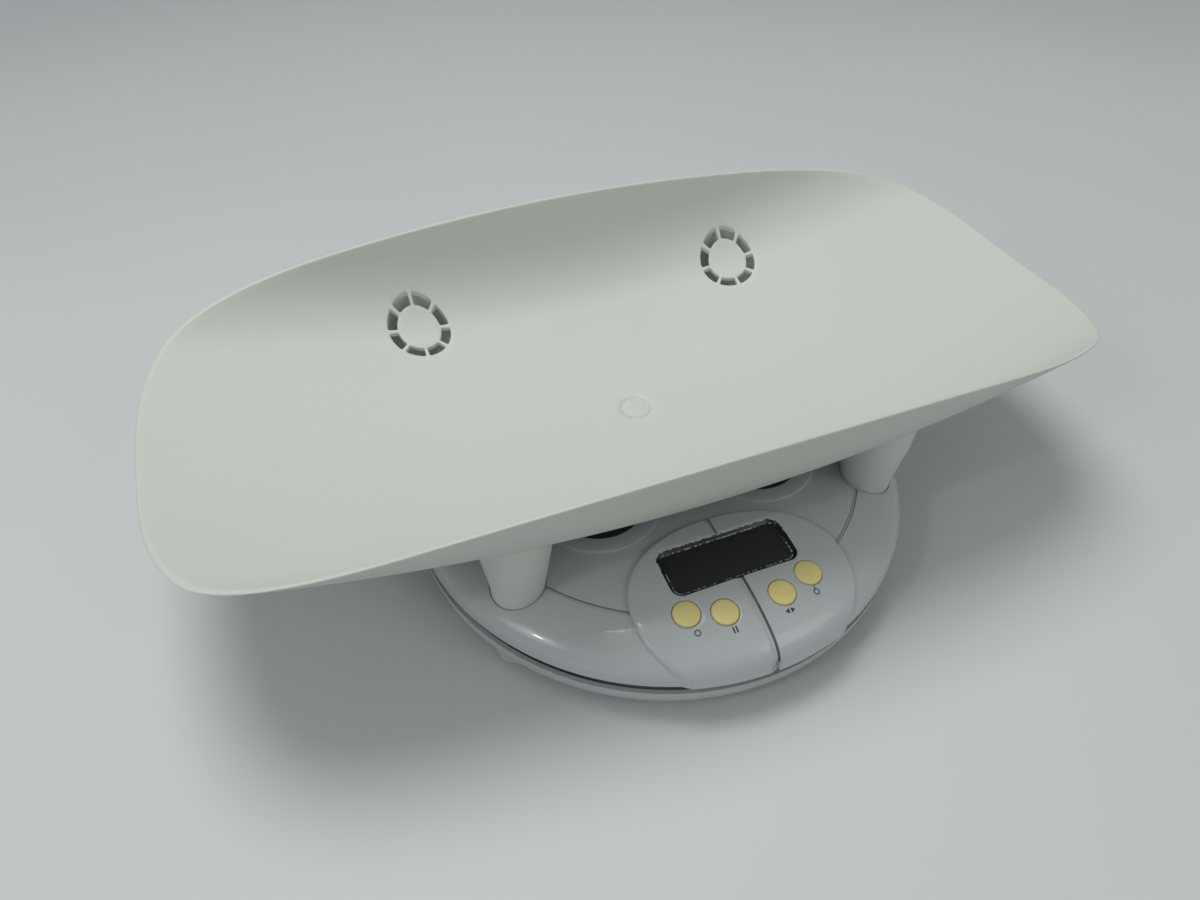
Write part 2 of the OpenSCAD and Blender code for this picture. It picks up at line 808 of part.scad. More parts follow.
module spacer(z, side) {
    x_mid = side * (cell_screw_x[0] + cell_screw_x[1]) / 2;
    translate([x_mid - 12, -cell_h / 2, z]) cube([24, cell_h, spacer_t]);
}

module upper_spacer() {
    color([0.6, 0.62, 0.64]) placed() difference() {
        spacer(upper_spacer_z, 1);
        for (x = cell_screw_x)
            translate([x, 0, upper_spacer_z - 1]) cylinder(h = spacer_t + 2, r = cell_hole_r + slip);
    }
}

module lower_spacer() {
    color([0.6, 0.62, 0.64]) placed() difference() {
        spacer(lower_spacer_z, -1);
        for (x = cell_screw_x)
            translate([-x, 0, lower_spacer_z - 1]) cylinder(h = spacer_t + 2, r = cell_hole_r + slip);
    }
}

module load_cell() {
    color([0.78, 0.79, 0.8]) placed() difference() {
        translate([-cell_l / 2, -cell_h / 2, cell_z]) cube([cell_l, cell_h, cell_h]);
        for (x = [-flexure_x, flexure_x])
            translate([x, cell_h, cell_z + cell_h / 2]) rotate([90, 0, 0])
                cylinder(h = 2 * cell_h, r = flexure_r);
        translate([-flexure_x, -cell_h, cell_z + cell_h / 2 - 1]) cube([2 * flexure_x, 2 * cell_h, 2]);
        for (x = cell_screw_x) {
            translate([x, 0, cell_z + cell_h - cell_hole_l]) cylinder(h = far, r = cell_hole_r);
            translate([-x, 0, cell_z - 1]) cylinder(h = cell_hole_l + 1, r = cell_hole_r);
        }
    }
}

module gauge_cover() {
    color([0.92, 0.92, 0.9]) placed()
        translate([-gauge_x, cell_h / 2, cell_z + 1.2]) cube([2 * gauge_x, 3.6, cell_h - 2.4]);
}

module upper_cell_screws() {
    color("silver") placed() for (x = cell_screw_x)
        translate([x, 0, upper_plate_z + plate_t]) mirror([0, 0, 1])
            screw_up(cell_screw_l, r = cell_screw_r, head_r = cell_head_r, head_h = cell_head_h);
}

module lower_cell_screws() {
    color("silver") placed() for (x = cell_screw_x)
        translate([-x, 0, lower_plate_z])
            screw_up(cell_screw_l, r = cell_screw_r, head_r = cell_head_r, head_h = cell_head_h);
}

module lower_plate() {
    color([0.6, 0.62, 0.64]) placed() difference() {
        translate([0, 0, lower_plate_z]) linear_extrude(plate_t)
            round_rect(lower_plate_l, lower_plate_w, 6);
        for (x = cell_screw_x)
            translate([-x, 0, lower_plate_z - 1]) cylinder(h = plate_t + 2, r = cell_hole_r + slip);
        for (sx = [-1, 1], sy = [-1, 1])
            translate([sx * lower_screw_x, sy * lower_screw_y, lower_plate_z - 1])
                cylinder(h = plate_t + 2, r = screw_hole_r + slip);
    }
}

module lower_plate_screws() {
    color("silver") placed() for (sx = [-1, 1], sy = [-1, 1])
        translate([sx * lower_screw_x, sy * lower_screw_y, lower_plate_z + plate_t])
            mirror([0, 0, 1]) screw_up(lower_screw_l);
}

module at_stops() {
    for (p = leg_places)
        translate([p[0] * stop_place, p[1] * stop_place, 0]) children();
}

stop_base_z = upper_plate_z - platform_travel - stop_clear - stop_head_h;
module stop_screws() {
    color("silver") placed() at_stops() translate([0, 0, stop_base_z])
        mirror([0, 0, 1]) screw_up(stop_screw_l, r = stop_screw_r, head_r = 3.6, head_h = stop_head_h);
}

// ---- base ----

module bottom_profile_solid() {
    corner = 3;
    stadium_solid([
        [0, underside_z],
        [rim_r - 2.3 * corner, underside_z],
        [rim_r - corner, underside_z + 0.9],
        [rim_r - 0.9, underside_z + corner],
        [rim_r, underside_z + 2.3 * corner],
        [rim_r, rim_top_z],
        [rim_r - shell_wall, rim_top_z],
        [rim_r - shell_wall, underside_z + 2.3 * corner],
        [rim_r - shell_wall - 1, underside_z + corner + 1.6],
        [upstand_r, floor_z],
        [upstand_r, upstand_z],
        [upstand_r - 2.2, upstand_z],
        [upstand_r - 2.2, floor_z],
        [0, floor_z]
    ]);
}

module bottom_shell() {
    color(color_shell) placed() difference() {
        union() {
            bottom_profile_solid();
            for (sx = [-1, 1], sy = [-1, 1]) {
                translate([sx * foot_x, sy * foot_y, foot_h - foot_recess])
                    cylinder(h = floor_z - foot_h + foot_recess, r = foot_boss_r);
                translate([sx * lower_screw_x, sy * lower_screw_y, underside_z])
                    cylinder(h = lower_plate_z - underside_z, r = lower_boss_r);
            }
            at_stops() translate([0, 0, underside_z])
                cylinder(h = stop_base_z - underside_z, r = stop_post_r);
            translate([-box_l / 2 - box_wall, battery_y - box_w / 2 - box_wall, underside_z])
                cube([box_l + 2 * box_wall, box_w + 2 * box_wall, box_top_z + box_wall - underside_z]);
            door_rails();
        }
        translate([-box_l / 2, battery_y - box_w / 2, underside_z - 1])
            cube([box_l, box_w, box_top_z - underside_z + 1]);
        translate([lead_slot_x, battery_y - box_w / 2 - 2 * box_wall, box_top_z - 4])
            cube([6, 3 * box_wall, 3]);
        for (sx = [-1, 1], sy = [-1, 1]) {
            translate([sx * foot_x, sy * foot_y, 0]) cylinder(h = foot_h, r = foot_r + slip);
            translate([sx * lower_screw_x, sy * lower_screw_y, lower_plate_z - 3.6])
                cylinder(h = far, r = screw_hole_r);
        }
        at_stops() translate([0, 0, stop_base_z - 10]) cylinder(h = 20, r = stop_screw_r + slip);
    }
}

module door_rails() {
    inner = door_w / 2 + door_gap;
    low = door_z - door_gap - rail_t;
    front = door_y0 - door_gap - rail_w;
    for (side = [0, 1]) mirror([side, 0, 0]) {
        translate([inner, front, low])
            cube([rail_w, rail_end_y - front, underside_z - low + 0.5]);
        translate([inner - rail_grip, front, low])
            cube([rail_w + rail_grip, rail_end_y - front, rail_t]);
    }
    translate([-inner, front, low]) cube([2 * inner, rail_w, underside_z - low + 0.5]);
}

module battery_door() {
    color(color_shell) placed() translate([-door_w / 2, door_y0, door_z]) {
        cube([door_w, door_l, door_t]);
        for (i = [0:4])
            translate([(door_w - door_rib_l) / 2, door_l - 6 - 3 * i, -0.8])
                cube([door_rib_l, 1.2, 0.9]);
    }
}

battery_z = underside_z;
battery_x0 = -box_l / 2 + snap_room;
module battery_block() {
    color([0.2, 0.2, 0.22]) placed() {
        translate([battery_x0 + battery_l / 2, battery_y, battery_z + battery_h / 2])
            rotate([90, 0, 90]) translate([0, 0, -battery_l / 2]) linear_extrude(battery_l)
                round_rect(battery_w, battery_h, 2);
        for (side = [-1, 1])
            translate([battery_x0, battery_y + side * 6.4, battery_z + battery_h / 2])
                rotate([0, -90, 0]) cylinder(h = 2.4, r = side > 0 ? 2.8 : 3.6);
    }
}

module battery_snap() {
    color([0.1, 0.1, 0.1]) placed()
        translate([battery_x0 - 6, battery_y, battery_z + battery_h / 2]) difference() {
            rotate([90, 0, 90]) linear_extrude(5.4) round_rect(battery_w - 1, battery_h - 3, 3);
            for (side = [-1, 1])
                translate([2.6, side * 6.4, 0]) rotate([0, 90, 0])
                    cylinder(h = 4, r = side > 0 ? 3 : 3.8);
        }
}

// Leads from the snap connector to the board, and from the load cell's gauges to the board
lead_r = 0.8;
lead_path = [
    [-23.4, 126, 24],
    [-23.5, 125.6, 26],
    [-24.3, 123, 27.6],
    [-26.2, 119, 27.8],
    [-27, 115.5, 27.8],
    [-27.6, 111, 27.6],
    [-28.5, 105, 26],
    [-30, 96, 21],
    [-32, 86, 16.5],
    [-37, 72, 14],
    [-46, 56, 13.2],
    [-56, 40, 13],
    [-62, 20, 13],
    [-64, 0, 13],
    [-62, -25, 13],
    [-57, -48, 13],
    [-50, -70, 13.5],
    [-43, -86, 16],
    [-37, -97, 21],
    [-33, -105, 27],
    [-31.2, -110.5, 33],
    [-30.6, -113.4, 39],
    [-30.5, -114.3, 43.5]
];
cable_r = 1.5;
cable_path = [
    [14.4, 8.4, 22.6],
    [19, 8.9, 22.6],
    [25, 11, 22.2],
    [32, 14.5, 21.5],
    [40, 17, 20.8],
    [48, 16, 20.5],
    [55, 9, 20.5],
    [59, -3, 20.5],
    [59, -20, 20.5],
    [56, -38, 20.5],
    [50, -58, 20.5],
    [43, -76, 21],
    [37, -90, 23],
    [33, -100, 27],
    [31, -107, 32],
    [30.6, -112, 38],
    [30.5, -114.3, 43.5]
];

module battery_leads() {
    color([0.7, 0.1, 0.1]) placed() tube(lead_path, lead_r);
    color([0.05, 0.05, 0.05]) placed() translate([3 * lead_r, 0, 0]) tube(lead_path, lead_r);
}

module cell_cable() {
    color([0.85, 0.85, 0.85]) placed() tube(cable_path, cable_r);
}

module foot(sx, sy) {
    color([0.12, 0.12, 0.12]) placed() translate([sx * foot_x, sy * foot_y, 0])
        rotate_extrude() polygon([
            [0, 0],
            [foot_r - 0.8, 0],
            [foot_r, 0.8],
            [foot_r, foot_h],
            [0, foot_h]
        ]);
}

tray_shell();
tray_centre_plate();
platform_shell();
standing_pad(-1, -1);  // standing_pad_front_left
standing_pad(1, -1);  // standing_pad_front_right
standing_pad(-1, 1);  // standing_pad_rear_left
standing_pad(1, 1);  // standing_pad_rear_right
control_fascia();
fascia_screws();
display_lens();
display_frame();
display_glass();
display_connectors();
display_board();
board_chip();
board_screws();
push_switches();
button(outer_buttons[0]);  // button_zero
button(inner_buttons[0]);  // button_hold
button(inner_buttons[1]);  // button_units
button(outer_buttons[1]);  // button_power
plunger(outer_buttons[0]);  // plunger_zero
plunger(inner_buttons[0]);  // plunger_hold
plunger(inner_buttons[1]);  // plunger_units
plunger(outer_buttons[1]);  // plunger_power
upper_plate();
socket_screws();
upper_spacer();
upper_cell_screws();
cell_cable();
load_cell();
gauge_cover();
lower_spacer();
lower_cell_screws();
lower_plate();
lower_plate_screws();
stop_screws();
bottom_shell();
foot(-1, -1);  // foot_front_left
foot(1, -1);  // foot_front_right
foot(-1, 1);  // foot_rear_left
foot(1, 1);  // foot_rear_right
battery_block();
battery_snap();
battery_leads();
battery_door();
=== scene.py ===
import json
import math

import bmesh
import bpy
import numpy as np
from mathutils import Matrix, Vector
from mathutils.geometry import delaunay_2d_cdt
from mathutils.kdtree import KDTree


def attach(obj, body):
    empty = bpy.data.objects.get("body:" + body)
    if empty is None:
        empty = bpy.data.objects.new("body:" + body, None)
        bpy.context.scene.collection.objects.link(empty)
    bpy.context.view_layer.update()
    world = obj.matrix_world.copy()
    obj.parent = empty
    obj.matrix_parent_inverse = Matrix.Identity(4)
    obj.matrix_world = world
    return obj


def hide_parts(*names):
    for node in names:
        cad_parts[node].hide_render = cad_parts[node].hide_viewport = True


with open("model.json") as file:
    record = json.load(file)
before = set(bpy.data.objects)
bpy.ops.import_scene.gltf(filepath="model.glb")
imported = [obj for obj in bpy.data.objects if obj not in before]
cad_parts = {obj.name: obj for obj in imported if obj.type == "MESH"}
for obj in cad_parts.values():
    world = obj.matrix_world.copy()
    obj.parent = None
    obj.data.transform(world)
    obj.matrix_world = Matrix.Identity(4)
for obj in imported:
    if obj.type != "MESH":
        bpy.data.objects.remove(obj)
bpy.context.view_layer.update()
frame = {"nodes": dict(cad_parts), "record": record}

# All sizes are millimetres about the weighing centre; pieces are moved back and scaled when they are made.
MM = 0.001
MID_Y = 1.0

# ---- the tray's surface ----

TRAY_MIDDLE_Z = 59.0
TRAY_WALL = 2.4
RIM_Z, RIM_END_DROP, RIM_HALF_LENGTH, RIM_POWER = 143.0, 38.0, 293.5, 1.87
LONG_RADIUS = 900.0
FLOOR_RADIUS, FLOOR_ANGLE = 273.0, math.radians(19.5)
BEND_RADIUS, SIDE_ANGLE = 62.0, math.radians(76)
FLOOR_RUN = FLOOR_RADIUS * FLOOR_ANGLE
BEND_RUN = FLOOR_RUN + BEND_RADIUS * (SIDE_ANGLE - FLOOR_ANGLE)
BEND_Y = (FLOOR_RADIUS - BEND_RADIUS) * math.sin(FLOOR_ANGLE)
BEND_H = FLOOR_RADIUS - (FLOOR_RADIUS - BEND_RADIUS) * math.cos(FLOOR_ANGLE)


def section(run, thick):
    """Side distance and height of the cross-section at a length along it, thick millimetres outside the inner face"""
    side = np.sign(run)
    run = np.abs(run)
    floor = run / FLOOR_RADIUS
    bend = FLOOR_ANGLE + (np.minimum(run, BEND_RUN) - FLOOR_RUN) / BEND_RADIUS
    past = np.maximum(run - BEND_RUN, 0)
    flat = run < FLOOR_RUN
    y = np.where(flat, (FLOOR_RADIUS + thick) * np.sin(floor),
                 BEND_Y + (BEND_RADIUS + thick) * np.sin(bend) + past * math.cos(SIDE_ANGLE))
    h = np.where(flat, FLOOR_RADIUS - (FLOOR_RADIUS + thick) * np.cos(floor),
                 BEND_H - (BEND_RADIUS + thick) * np.cos(bend) + past * math.sin(SIDE_ANGLE))
    return side * y, h


def run_at(y, thick):
    """The length along the cross-section at a side distance, up to the steep part of the bend"""
    side, y = np.sign(y), np.abs(y)
    floor = FLOOR_RADIUS * np.arcsin(np.clip(y / (FLOOR_RADIUS + thick), 0, 1))
    bend = np.arcsin(np.clip((y - BEND_Y) / (BEND_RADIUS + thick), -1, 1))
    return side * np.where(floor < FLOOR_RUN, floor, FLOOR_RUN + BEND_RADIUS * (bend - FLOOR_ANGLE))


def trough(flat, thick):
    """Points of the tray's inner or outer face from [along the tray, along the cross-section]"""
    x = flat[:, 0]
    y, h = section(flat[:, 1], thick)
    z = TRAY_MIDDLE_Z + LONG_RADIUS - np.sqrt((LONG_RADIUS - h) ** 2 - x ** 2)
    return np.column_stack([x, y, z])


def trough_height(x, y, thick):
    return trough(np.column_stack([x, run_at(y, thick)]), thick)[:, 2]


def rim_height(x):
    x = np.abs(x)
    inside = np.clip(1 - (x / RIM_HALF_LENGTH) ** RIM_POWER, 0, 1) ** (1 / RIM_POWER)
    return RIM_Z - RIM_END_DROP * (1 - inside) - np.maximum(x - RIM_HALF_LENGTH, 0) * 20


def rim_loop(thick, count=520):
    """The rim's line on the inner or outer face, in that face's flat coordinates"""
    turn = 2 * np.pi * np.arange(count) / count
    ray = np.column_stack([320 * np.cos(turn), 260 * np.sin(turn)])
    low, high = np.full(count, 0.3), np.full(count, 1.1)
    for _ in range(48):
        mid = (low + high) / 2
        flat = ray * mid[:, None]
        above = trough(flat, thick)[:, 2] > rim_height(flat[:, 0])
        high = np.where(above, mid, high)
        low = np.where(above, low, mid)
    return ray * ((low + high) / 2)[:, None]


# ---- the platform's and the fascia's domes ----

SPINE, EDGE_Z = 33.9, 28.0
COVER_R, COVER_INNER_R, FASCIA_R = 157.5, 154.9, 159.5
SEAT_GAP = 0.15
WINDOW_W, WINDOW_D, WINDOW_R, WINDOW_V = 79.4, 31.0, 6.5, 20.2


class Dome:
    """A low dome round a straight spine: its height falls with the distance from the spine"""

    def __init__(self, radius, top):
        self.radius, self.top, self.low, self.spine = radius, top, EDGE_Z, SPINE
        self.turn = np.linspace(0, math.pi / 2, 3001)
        distance = radius * np.sin(self.turn)
        steps = np.hypot(np.diff(distance), np.diff(self.height(distance)))
        self.run = np.concatenate([[0], np.cumsum(steps)])

    def height(self, distance):
        left = np.clip(1 - (np.asarray(distance) / self.radius) ** 4, 0, None)
        return self.low + (self.top - self.low) * left ** (1 / 3)

    def away(self, points):
        near = np.column_stack([np.zeros(len(points)), np.clip(points[:, 1], -self.spine, self.spine)])
        gap = points - near
        distance = np.hypot(gap[:, 0], gap[:, 1])
        return near, gap / np.maximum(distance, 1e-9)[:, None], distance

    def distance(self, plan):
        return self.away(plan)[2]

    def unroll(self, plan):
        near, unit, distance = self.away(plan)
        turn = np.arcsin(np.clip(distance / self.radius, 0, 1))
        return near + unit * np.interp(turn, self.turn, self.run)[:, None]

    def plan(self, flat):
        near, unit, run = self.away(flat)
        return near + unit * (self.radius * np.sin(np.interp(run, self.run, self.turn)))[:, None]

    def points(self, flat):
        plan = self.plan(flat)
        return np.column_stack([plan, self.height(self.distance(plan))])

    def lean(self, flat):
        """Directions straight out of the dome"""
        _, unit, run = self.away(flat)
        before, after = (self.radius * np.sin(np.interp(run + d, self.run, self.turn)) for d in (-0.15, 0.15))
        out, rise = after - before, self.height(after) - self.height(before)
        long = np.maximum(np.hypot(out, rise), 1e-9)
        return np.column_stack([unit * (-rise / long)[:, None], out / long])

    def ring(self, distance, count=360):
        """A closed line at one distance from the spine, in plan"""
        arc = math.pi * distance
        total = 2 * arc + 4 * self.spine
        loop = []
        for i in range(count):
            s = total * i / count
            for part, length in enumerate((arc, 2 * self.spine, arc, 2 * self.spine)):
                if s <= length:
                    break
                s -= length
            if part == 0:
                loop.append((distance * math.cos(s / distance), self.spine + distance * math.sin(s / distance)))
            elif part == 1:
                loop.append((-distance, self.spine - s))
            elif part == 2:
                loop.append((-distance * math.cos(s / distance), -self.spine - distance * math.sin(s / distance)))
            else:
                loop.append((distance, -self.spine + s))
        return np.array(loop)


platform_dome = Dome(COVER_R, 53.0)
platform_inside = Dome(COVER_INNER_R, 50.4)
fascia_dome = Dome(FASCIA_R, 56.6)

PANEL_Y, PANEL_Z = -150.4, 52.4
TILT_SIN, TILT_COS = math.sin(math.radians(5)), math.cos(math.radians(5))


def from_panel(u, v, w):
    u, v, w = np.broadcast_arrays(u, v, w)
    return np.column_stack([u, PANEL_Y + v * TILT_COS - w * TILT_SIN, PANEL_Z + v * TILT_SIN + w * TILT_COS])


def to_panel(points):
    y, z = points[:, 1] - PANEL_Y, points[:, 2] - PANEL_Z
    return np.column_stack([points[:, 0], y * TILT_COS + z * TILT_SIN, z * TILT_COS - y * TILT_SIN])


def panel_plan(flat, dome):
    """Where lines square to the control panel meet a dome, in plan"""
    w = np.zeros(len(flat))
    for _ in range(30):
        p = from_panel(flat[:, 0], flat[:, 1], w)
        w += (dome.height(dome.distance(p[:, :2])) - p[:, 2]) / TILT_COS
    return from_panel(flat[:, 0], flat[:, 1], w)[:, :2]


# ---- mesh making ----

def circle(x, y, radius, count):
    turn = 2 * np.pi * np.arange(count) / count
    return np.column_stack([x + radius * np.cos(turn), y + radius * np.sin(turn)])


def rounded_box(width, depth, radius, corner_steps, across=()):
    """A rounded rectangle, counter-clockwise, with points at the given places of its long edges"""
    half_w, half_d = width / 2 - radius, depth / 2 - radius
    wide = sorted(set(across) | set(np.linspace(-half_w, half_w, 20)))
    tall = list(np.linspace(-half_d, half_d, 8))
    loop = [(width / 2, v) for v in tall[:-1]]
    corners = ((half_w, half_d, 0), (-half_w, half_d, 90), (-half_w, -half_d, 180), (half_w, -half_d, 270))
    edges = ([(u, depth / 2) for u in wide[::-1]][1:-1], [(-width / 2, v) for v in tall[::-1]][1:-1],
             [(u, -depth / 2) for u in wide][1:-1], [])
    for (cu, cv, start), edge in zip(corners, edges):
        for i in range(corner_steps + 1):
            turn = math.radians(start + 90 * i / corner_steps)
            loop.append((cu + radius * math.cos(turn), cv + radius * math.sin(turn)))
        loop.extend(edge)
    return np.array(tidy_loop(loop))


def at_height(plan, z):
    return np.column_stack([plan, np.full(len(plan), z)])


def ends_at(loop, x):
    """The front and the back of a loop along one x"""
    y = loop[np.abs(loop[:, 0] - x) < 1e-6, 1]
    return y.min(), y.max()


def tidy_loop(loop):
    kept = []
    for p in loop:
        if not kept or math.dist(p, kept[-1]) > 1e-4:
            kept.append(tuple(p))
    if math.dist(kept[0], kept[-1]) < 1e-4:
        kept.pop()
    return kept


def loop_normals(loop):
    """Directions out of a counter-clockwise loop"""
    along = np.roll(loop, -1, axis=0) - np.roll(loop, 1, axis=0)
    along /= np.linalg.norm(along, axis=1)[:, None]
    return np.column_stack([along[:, 1], -along[:, 0]])


def within(points, loop):
    inside = np.zeros(len(points), bool)
    x, y = points[:, 0], points[:, 1]
    for (ax, ay), (bx, by) in zip(loop, np.roll(loop, -1, axis=0)):
        if ay != by:
            crossed = (ay > y) != (by > y)
            inside ^= crossed & (x < (bx - ax) * (y - ay) / (by - ay) + ax)
    return inside


def tree_of(points):
    tree = KDTree(len(points))
    for i, p in enumerate(points):
        tree.insert((p[0], p[1], p[2] if len(p) > 2 else 0), i)
    tree.balance()
    return tree


def nearest(points, others):
    tree = tree_of(others)
    return [tree.find((p[0], p[1], p[2] if len(p) > 2 else 0))[1] for p in points]


def sheet(outline, holes=(), lines=(), spacing=4.0, fine=()):
    """Triangles over the flat region inside the outline and outside the holes, with the lines kept as edges.
    Also gives each border as a list of points, in the order of its triangles."""
    flat, edges = [], []
    for loop, closed in [(outline, True)] + [(h, True) for h in holes] + list(lines):
        first = len(flat)
        flat.extend(map(tuple, loop))
        edges.extend((first + i, first + (i + 1) % len(loop)) for i in range(len(loop) - (not closed)))
    low, high = np.min(outline, axis=0), np.max(outline, axis=0)
    rise = spacing * 0.866
    grid = [(x + (spacing / 2 if j % 2 else 0), low[1] + j * rise)
            for j in range(int((high[1] - low[1]) / rise) + 1)
            for x in np.arange(low[0], high[0], spacing)]
    grid = np.array(grid + [tuple(p) for p in fine])
    keep = within(grid, outline)
    for hole in holes:
        keep &= ~within(grid, hole)
    tree = tree_of(flat)
    flat.extend(tuple(p) for p in grid[keep] if tree.find((p[0], p[1], 0))[2] > 0.62 * spacing)
    points, _, faces, _, _, _ = delaunay_2d_cdt([Vector(p) for p in flat], edges, [], 0, 1e-6)
    points = np.array([tuple(p) for p in points])
    faces = np.array([f for f in faces])
    middle = points[faces].mean(axis=1)
    keep = within(middle, outline)
    for hole in holes:
        keep &= ~within(middle, hole)
    faces = faces[keep]
    a, b, c = (points[faces[:, i]] for i in range(3))
    turn = (b[:, 0] - a[:, 0]) * (c[:, 1] - a[:, 1]) - (b[:, 1] - a[:, 1]) * (c[:, 0] - a[:, 0])
    faces[turn < 0] = faces[turn < 0][:, ::-1]
    after = {}
    once = set()
    for f in faces.tolist():
        for i in range(3):
            once.add((f[i], f[(i + 1) % 3]))
    for i, j in once:
        if (j, i) not in once:
            after[i] = j
    borders = []
    while after:
        start, i = next(iter(after.items()))
        loop = [start]
        del after[start]
        while i != start:
            loop.append(i)
            i = after.pop(i)
        borders.append(loop)
    centres = [np.mean(points[loop], axis=0) for loop in borders]
    size = [np.ptp(points[loop], axis=0).sum() for loop in borders]
    outer = int(np.argmax(size))
    rest = [i for i in range(len(borders)) if i != outer]
    ordered = [borders[outer]]
    for hole in holes:
        target = np.mean(hole, axis=0)
        ordered.append(borders[min(rest, key=lambda i: math.dist(centres[i], target))])
    return points, faces, ordered


class Skin:
    """The faces of one piece, gathered from sheets, skirts and turned parts"""

    def __init__(self):
        self.points, self.faces, self.count = [], [], 0

    def add(self, points, faces, flip=False):
        points = np.asarray(points, float)
        for f in faces:
            f = [self.count + int(i) for i in f]
            self.faces.append(f[::-1] if flip else f)
        self.points.append(points)
        self.count += len(points)

    def skirt(self, rows, flip=False, closed=True):
        """Faces from one row of points to the next; the first row is a border in the order of its triangles"""
        n = len(rows[0])
        steps = n if closed else n - 1
        faces = []
        for k in range(len(rows) - 1):
            for i in range(steps):
                j = (i + 1) % n
                faces.append((k * n + j, k * n + i, (k + 1) * n + i, (k + 1) * n + j))
        self.add(np.concatenate(rows), faces, flip)

    def turned(self, profile, place, count=96, flip=False):
        """A profile of [radius, height] points turned about an axis; place moves points of that axis's own space"""
        turn = 2 * np.pi * np.arange(count) / count
        rows = [place(np.column_stack([r * np.cos(turn), r * np.sin(turn), np.full(count, z)]))
                for r, z in profile]
        self.skirt(rows, flip=not flip)

    def piece(self, name, finish, body, replaces=(), sharp=35.0):
        mesh = bpy.data.meshes.new(name)
        points = (np.concatenate(self.points) + (0, MID_Y, 0)) * MM
        mesh.from_pydata([tuple(p) for p in points], [], self.faces)
        bm = bmesh.new()
        bm.from_mesh(mesh)
        bmesh.ops.remove_doubles(bm, verts=bm.verts, dist=4e-6)
        bmesh.ops.dissolve_degenerate(bm, edges=bm.edges, dist=2e-6)
        loose = [v for v in bm.verts if not v.link_faces]
        bmesh.ops.delete(bm, geom=loose, context="VERTS")
        bm.to_mesh(mesh)
        bm.free()
        mesh.shade_smooth()
        if sharp:
            mesh.set_sharp_from_angle(angle=math.radians(sharp))
        mesh.materials.append(finish)
        thing = bpy.data.objects.new(name, mesh)
        bpy.context.scene.collection.objects.link(thing)
        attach(thing, body)
        if replaces:
            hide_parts(*replaces)
        return thing


# ---- materials ----

class Value:
    """A socket of a material that takes part in sums"""

    def __init__(self, finish, socket):
        self.finish, self.socket = finish, socket

    def sum(self, operation, first, second=None):
        values = {0: first} if second is None else {0: first, 1: second}
        return self.finish.node("ShaderNodeMath", {"operation": operation}, values)

    def __add__(self, other):
        return self.sum("ADD", self, other)

    def __sub__(self, other):
        return self.sum("SUBTRACT", self, other)

    def __rsub__(self, other):
        return self.sum("SUBTRACT", other, self)

    def __mul__(self, other):
        return self.sum("MULTIPLY", self, other)

    def __pow__(self, other):
        return self.sum("POWER", self, other)

    def __abs__(self):
        return self.sum("ABSOLUTE", self)

    def over(self, limit):
        return self.sum("GREATER_THAN", self, limit)

    def under(self, limit):
        return self.sum("LESS_THAN", self, limit)

    def at_least(self, low):
        return self.sum("MAXIMUM", self, low)

    def at_most(self, high):
        return self.sum("MINIMUM", self, high)

    __radd__ = __add__
    __rmul__ = __mul__


class Finish:
    """A material built from nodes round one Principled shader"""

    def __init__(self, name):
        self.material = bpy.data.materials.new(name)
        self.material.use_nodes = True
        self.tree = self.material.node_tree
        self.tree.nodes.clear()
        output = self.tree.nodes.new("ShaderNodeOutputMaterial")
        self.shader = self.tree.nodes.new("ShaderNodeBsdfPrincipled")
        self.tree.links.new(self.shader.outputs[0], output.inputs[0])
        self.place = self.node("ShaderNodeTexCoord", {}, {}, "Object")

    def node(self, kind, settings, sockets, out=0):
        node = self.tree.nodes.new(kind)
        for key, value in settings.items():
            if key == "stops":
                ramp = node.color_ramp
                while len(ramp.elements) < len(value):
                    ramp.elements.new(0.5)
                for element, (position, colour) in zip(ramp.elements, value):
                    element.position, element.color = position, colour
            else:
                setattr(node, key, value)
        for key, value in sockets.items():
            self.join(node.inputs[key], value)
        return Value(self, node.outputs[out])

    def join(self, socket, value):
        if isinstance(value, Value):
            self.tree.links.new(value.socket, socket)
        else:
            socket.default_value = value

    def set(self, **values):
        for key, value in values.items():
            self.join(self.shader.inputs[key.replace("_", " ")], value)
        return self

    def noise(self, scale, detail=3.0, rough=0.5, stretch=None):
        place = self.place
        if stretch:
            place = self.node("ShaderNodeMapping", {}, {"Vector": place, "Scale": stretch})
        return self.node("ShaderNodeTexNoise", {}, {"Vector": place, "Scale": scale, "Detail": detail,
                                                    "Roughness": rough})

    def specks(self, scale, size):
        """Small scattered dots, 1 inside a dot"""
        near = self.node("ShaderNodeTexVoronoi", {"feature": "F1"}, {"Vector": self.place, "Scale": scale},
                         "Distance")
        return near.under(size)

    def blend(self, amount, first, second):
        return self.node("ShaderNodeMix", {"data_type": "RGBA"}, {0: amount, 6: first, 7: second}, 2)

    def spread(self, value, low, high):
        return self.node("ShaderNodeMapRange", {}, {"Value": value, "From Min": low, "From Max": high})

    def bump(self, height, strength, distance):
        return self.node("ShaderNodeBump", {}, {"Height": height, "Strength": strength, "Distance": distance})

    def axes(self):
        split = self.tree.nodes.new("ShaderNodeSeparateXYZ")
        self.tree.links.new(self.place.socket, split.inputs[0])
        return [Value(self, s) for s in split.outputs]


def shade(red, green, blue):
    """A colour from its 0-255 screen values"""
    def straight(c):
        c /= 255
        return c / 12.92 if c <= 0.04045 else ((c + 0.055) / 1.055) ** 2.4
    return (straight(red), straight(green), straight(blue), 1.0)


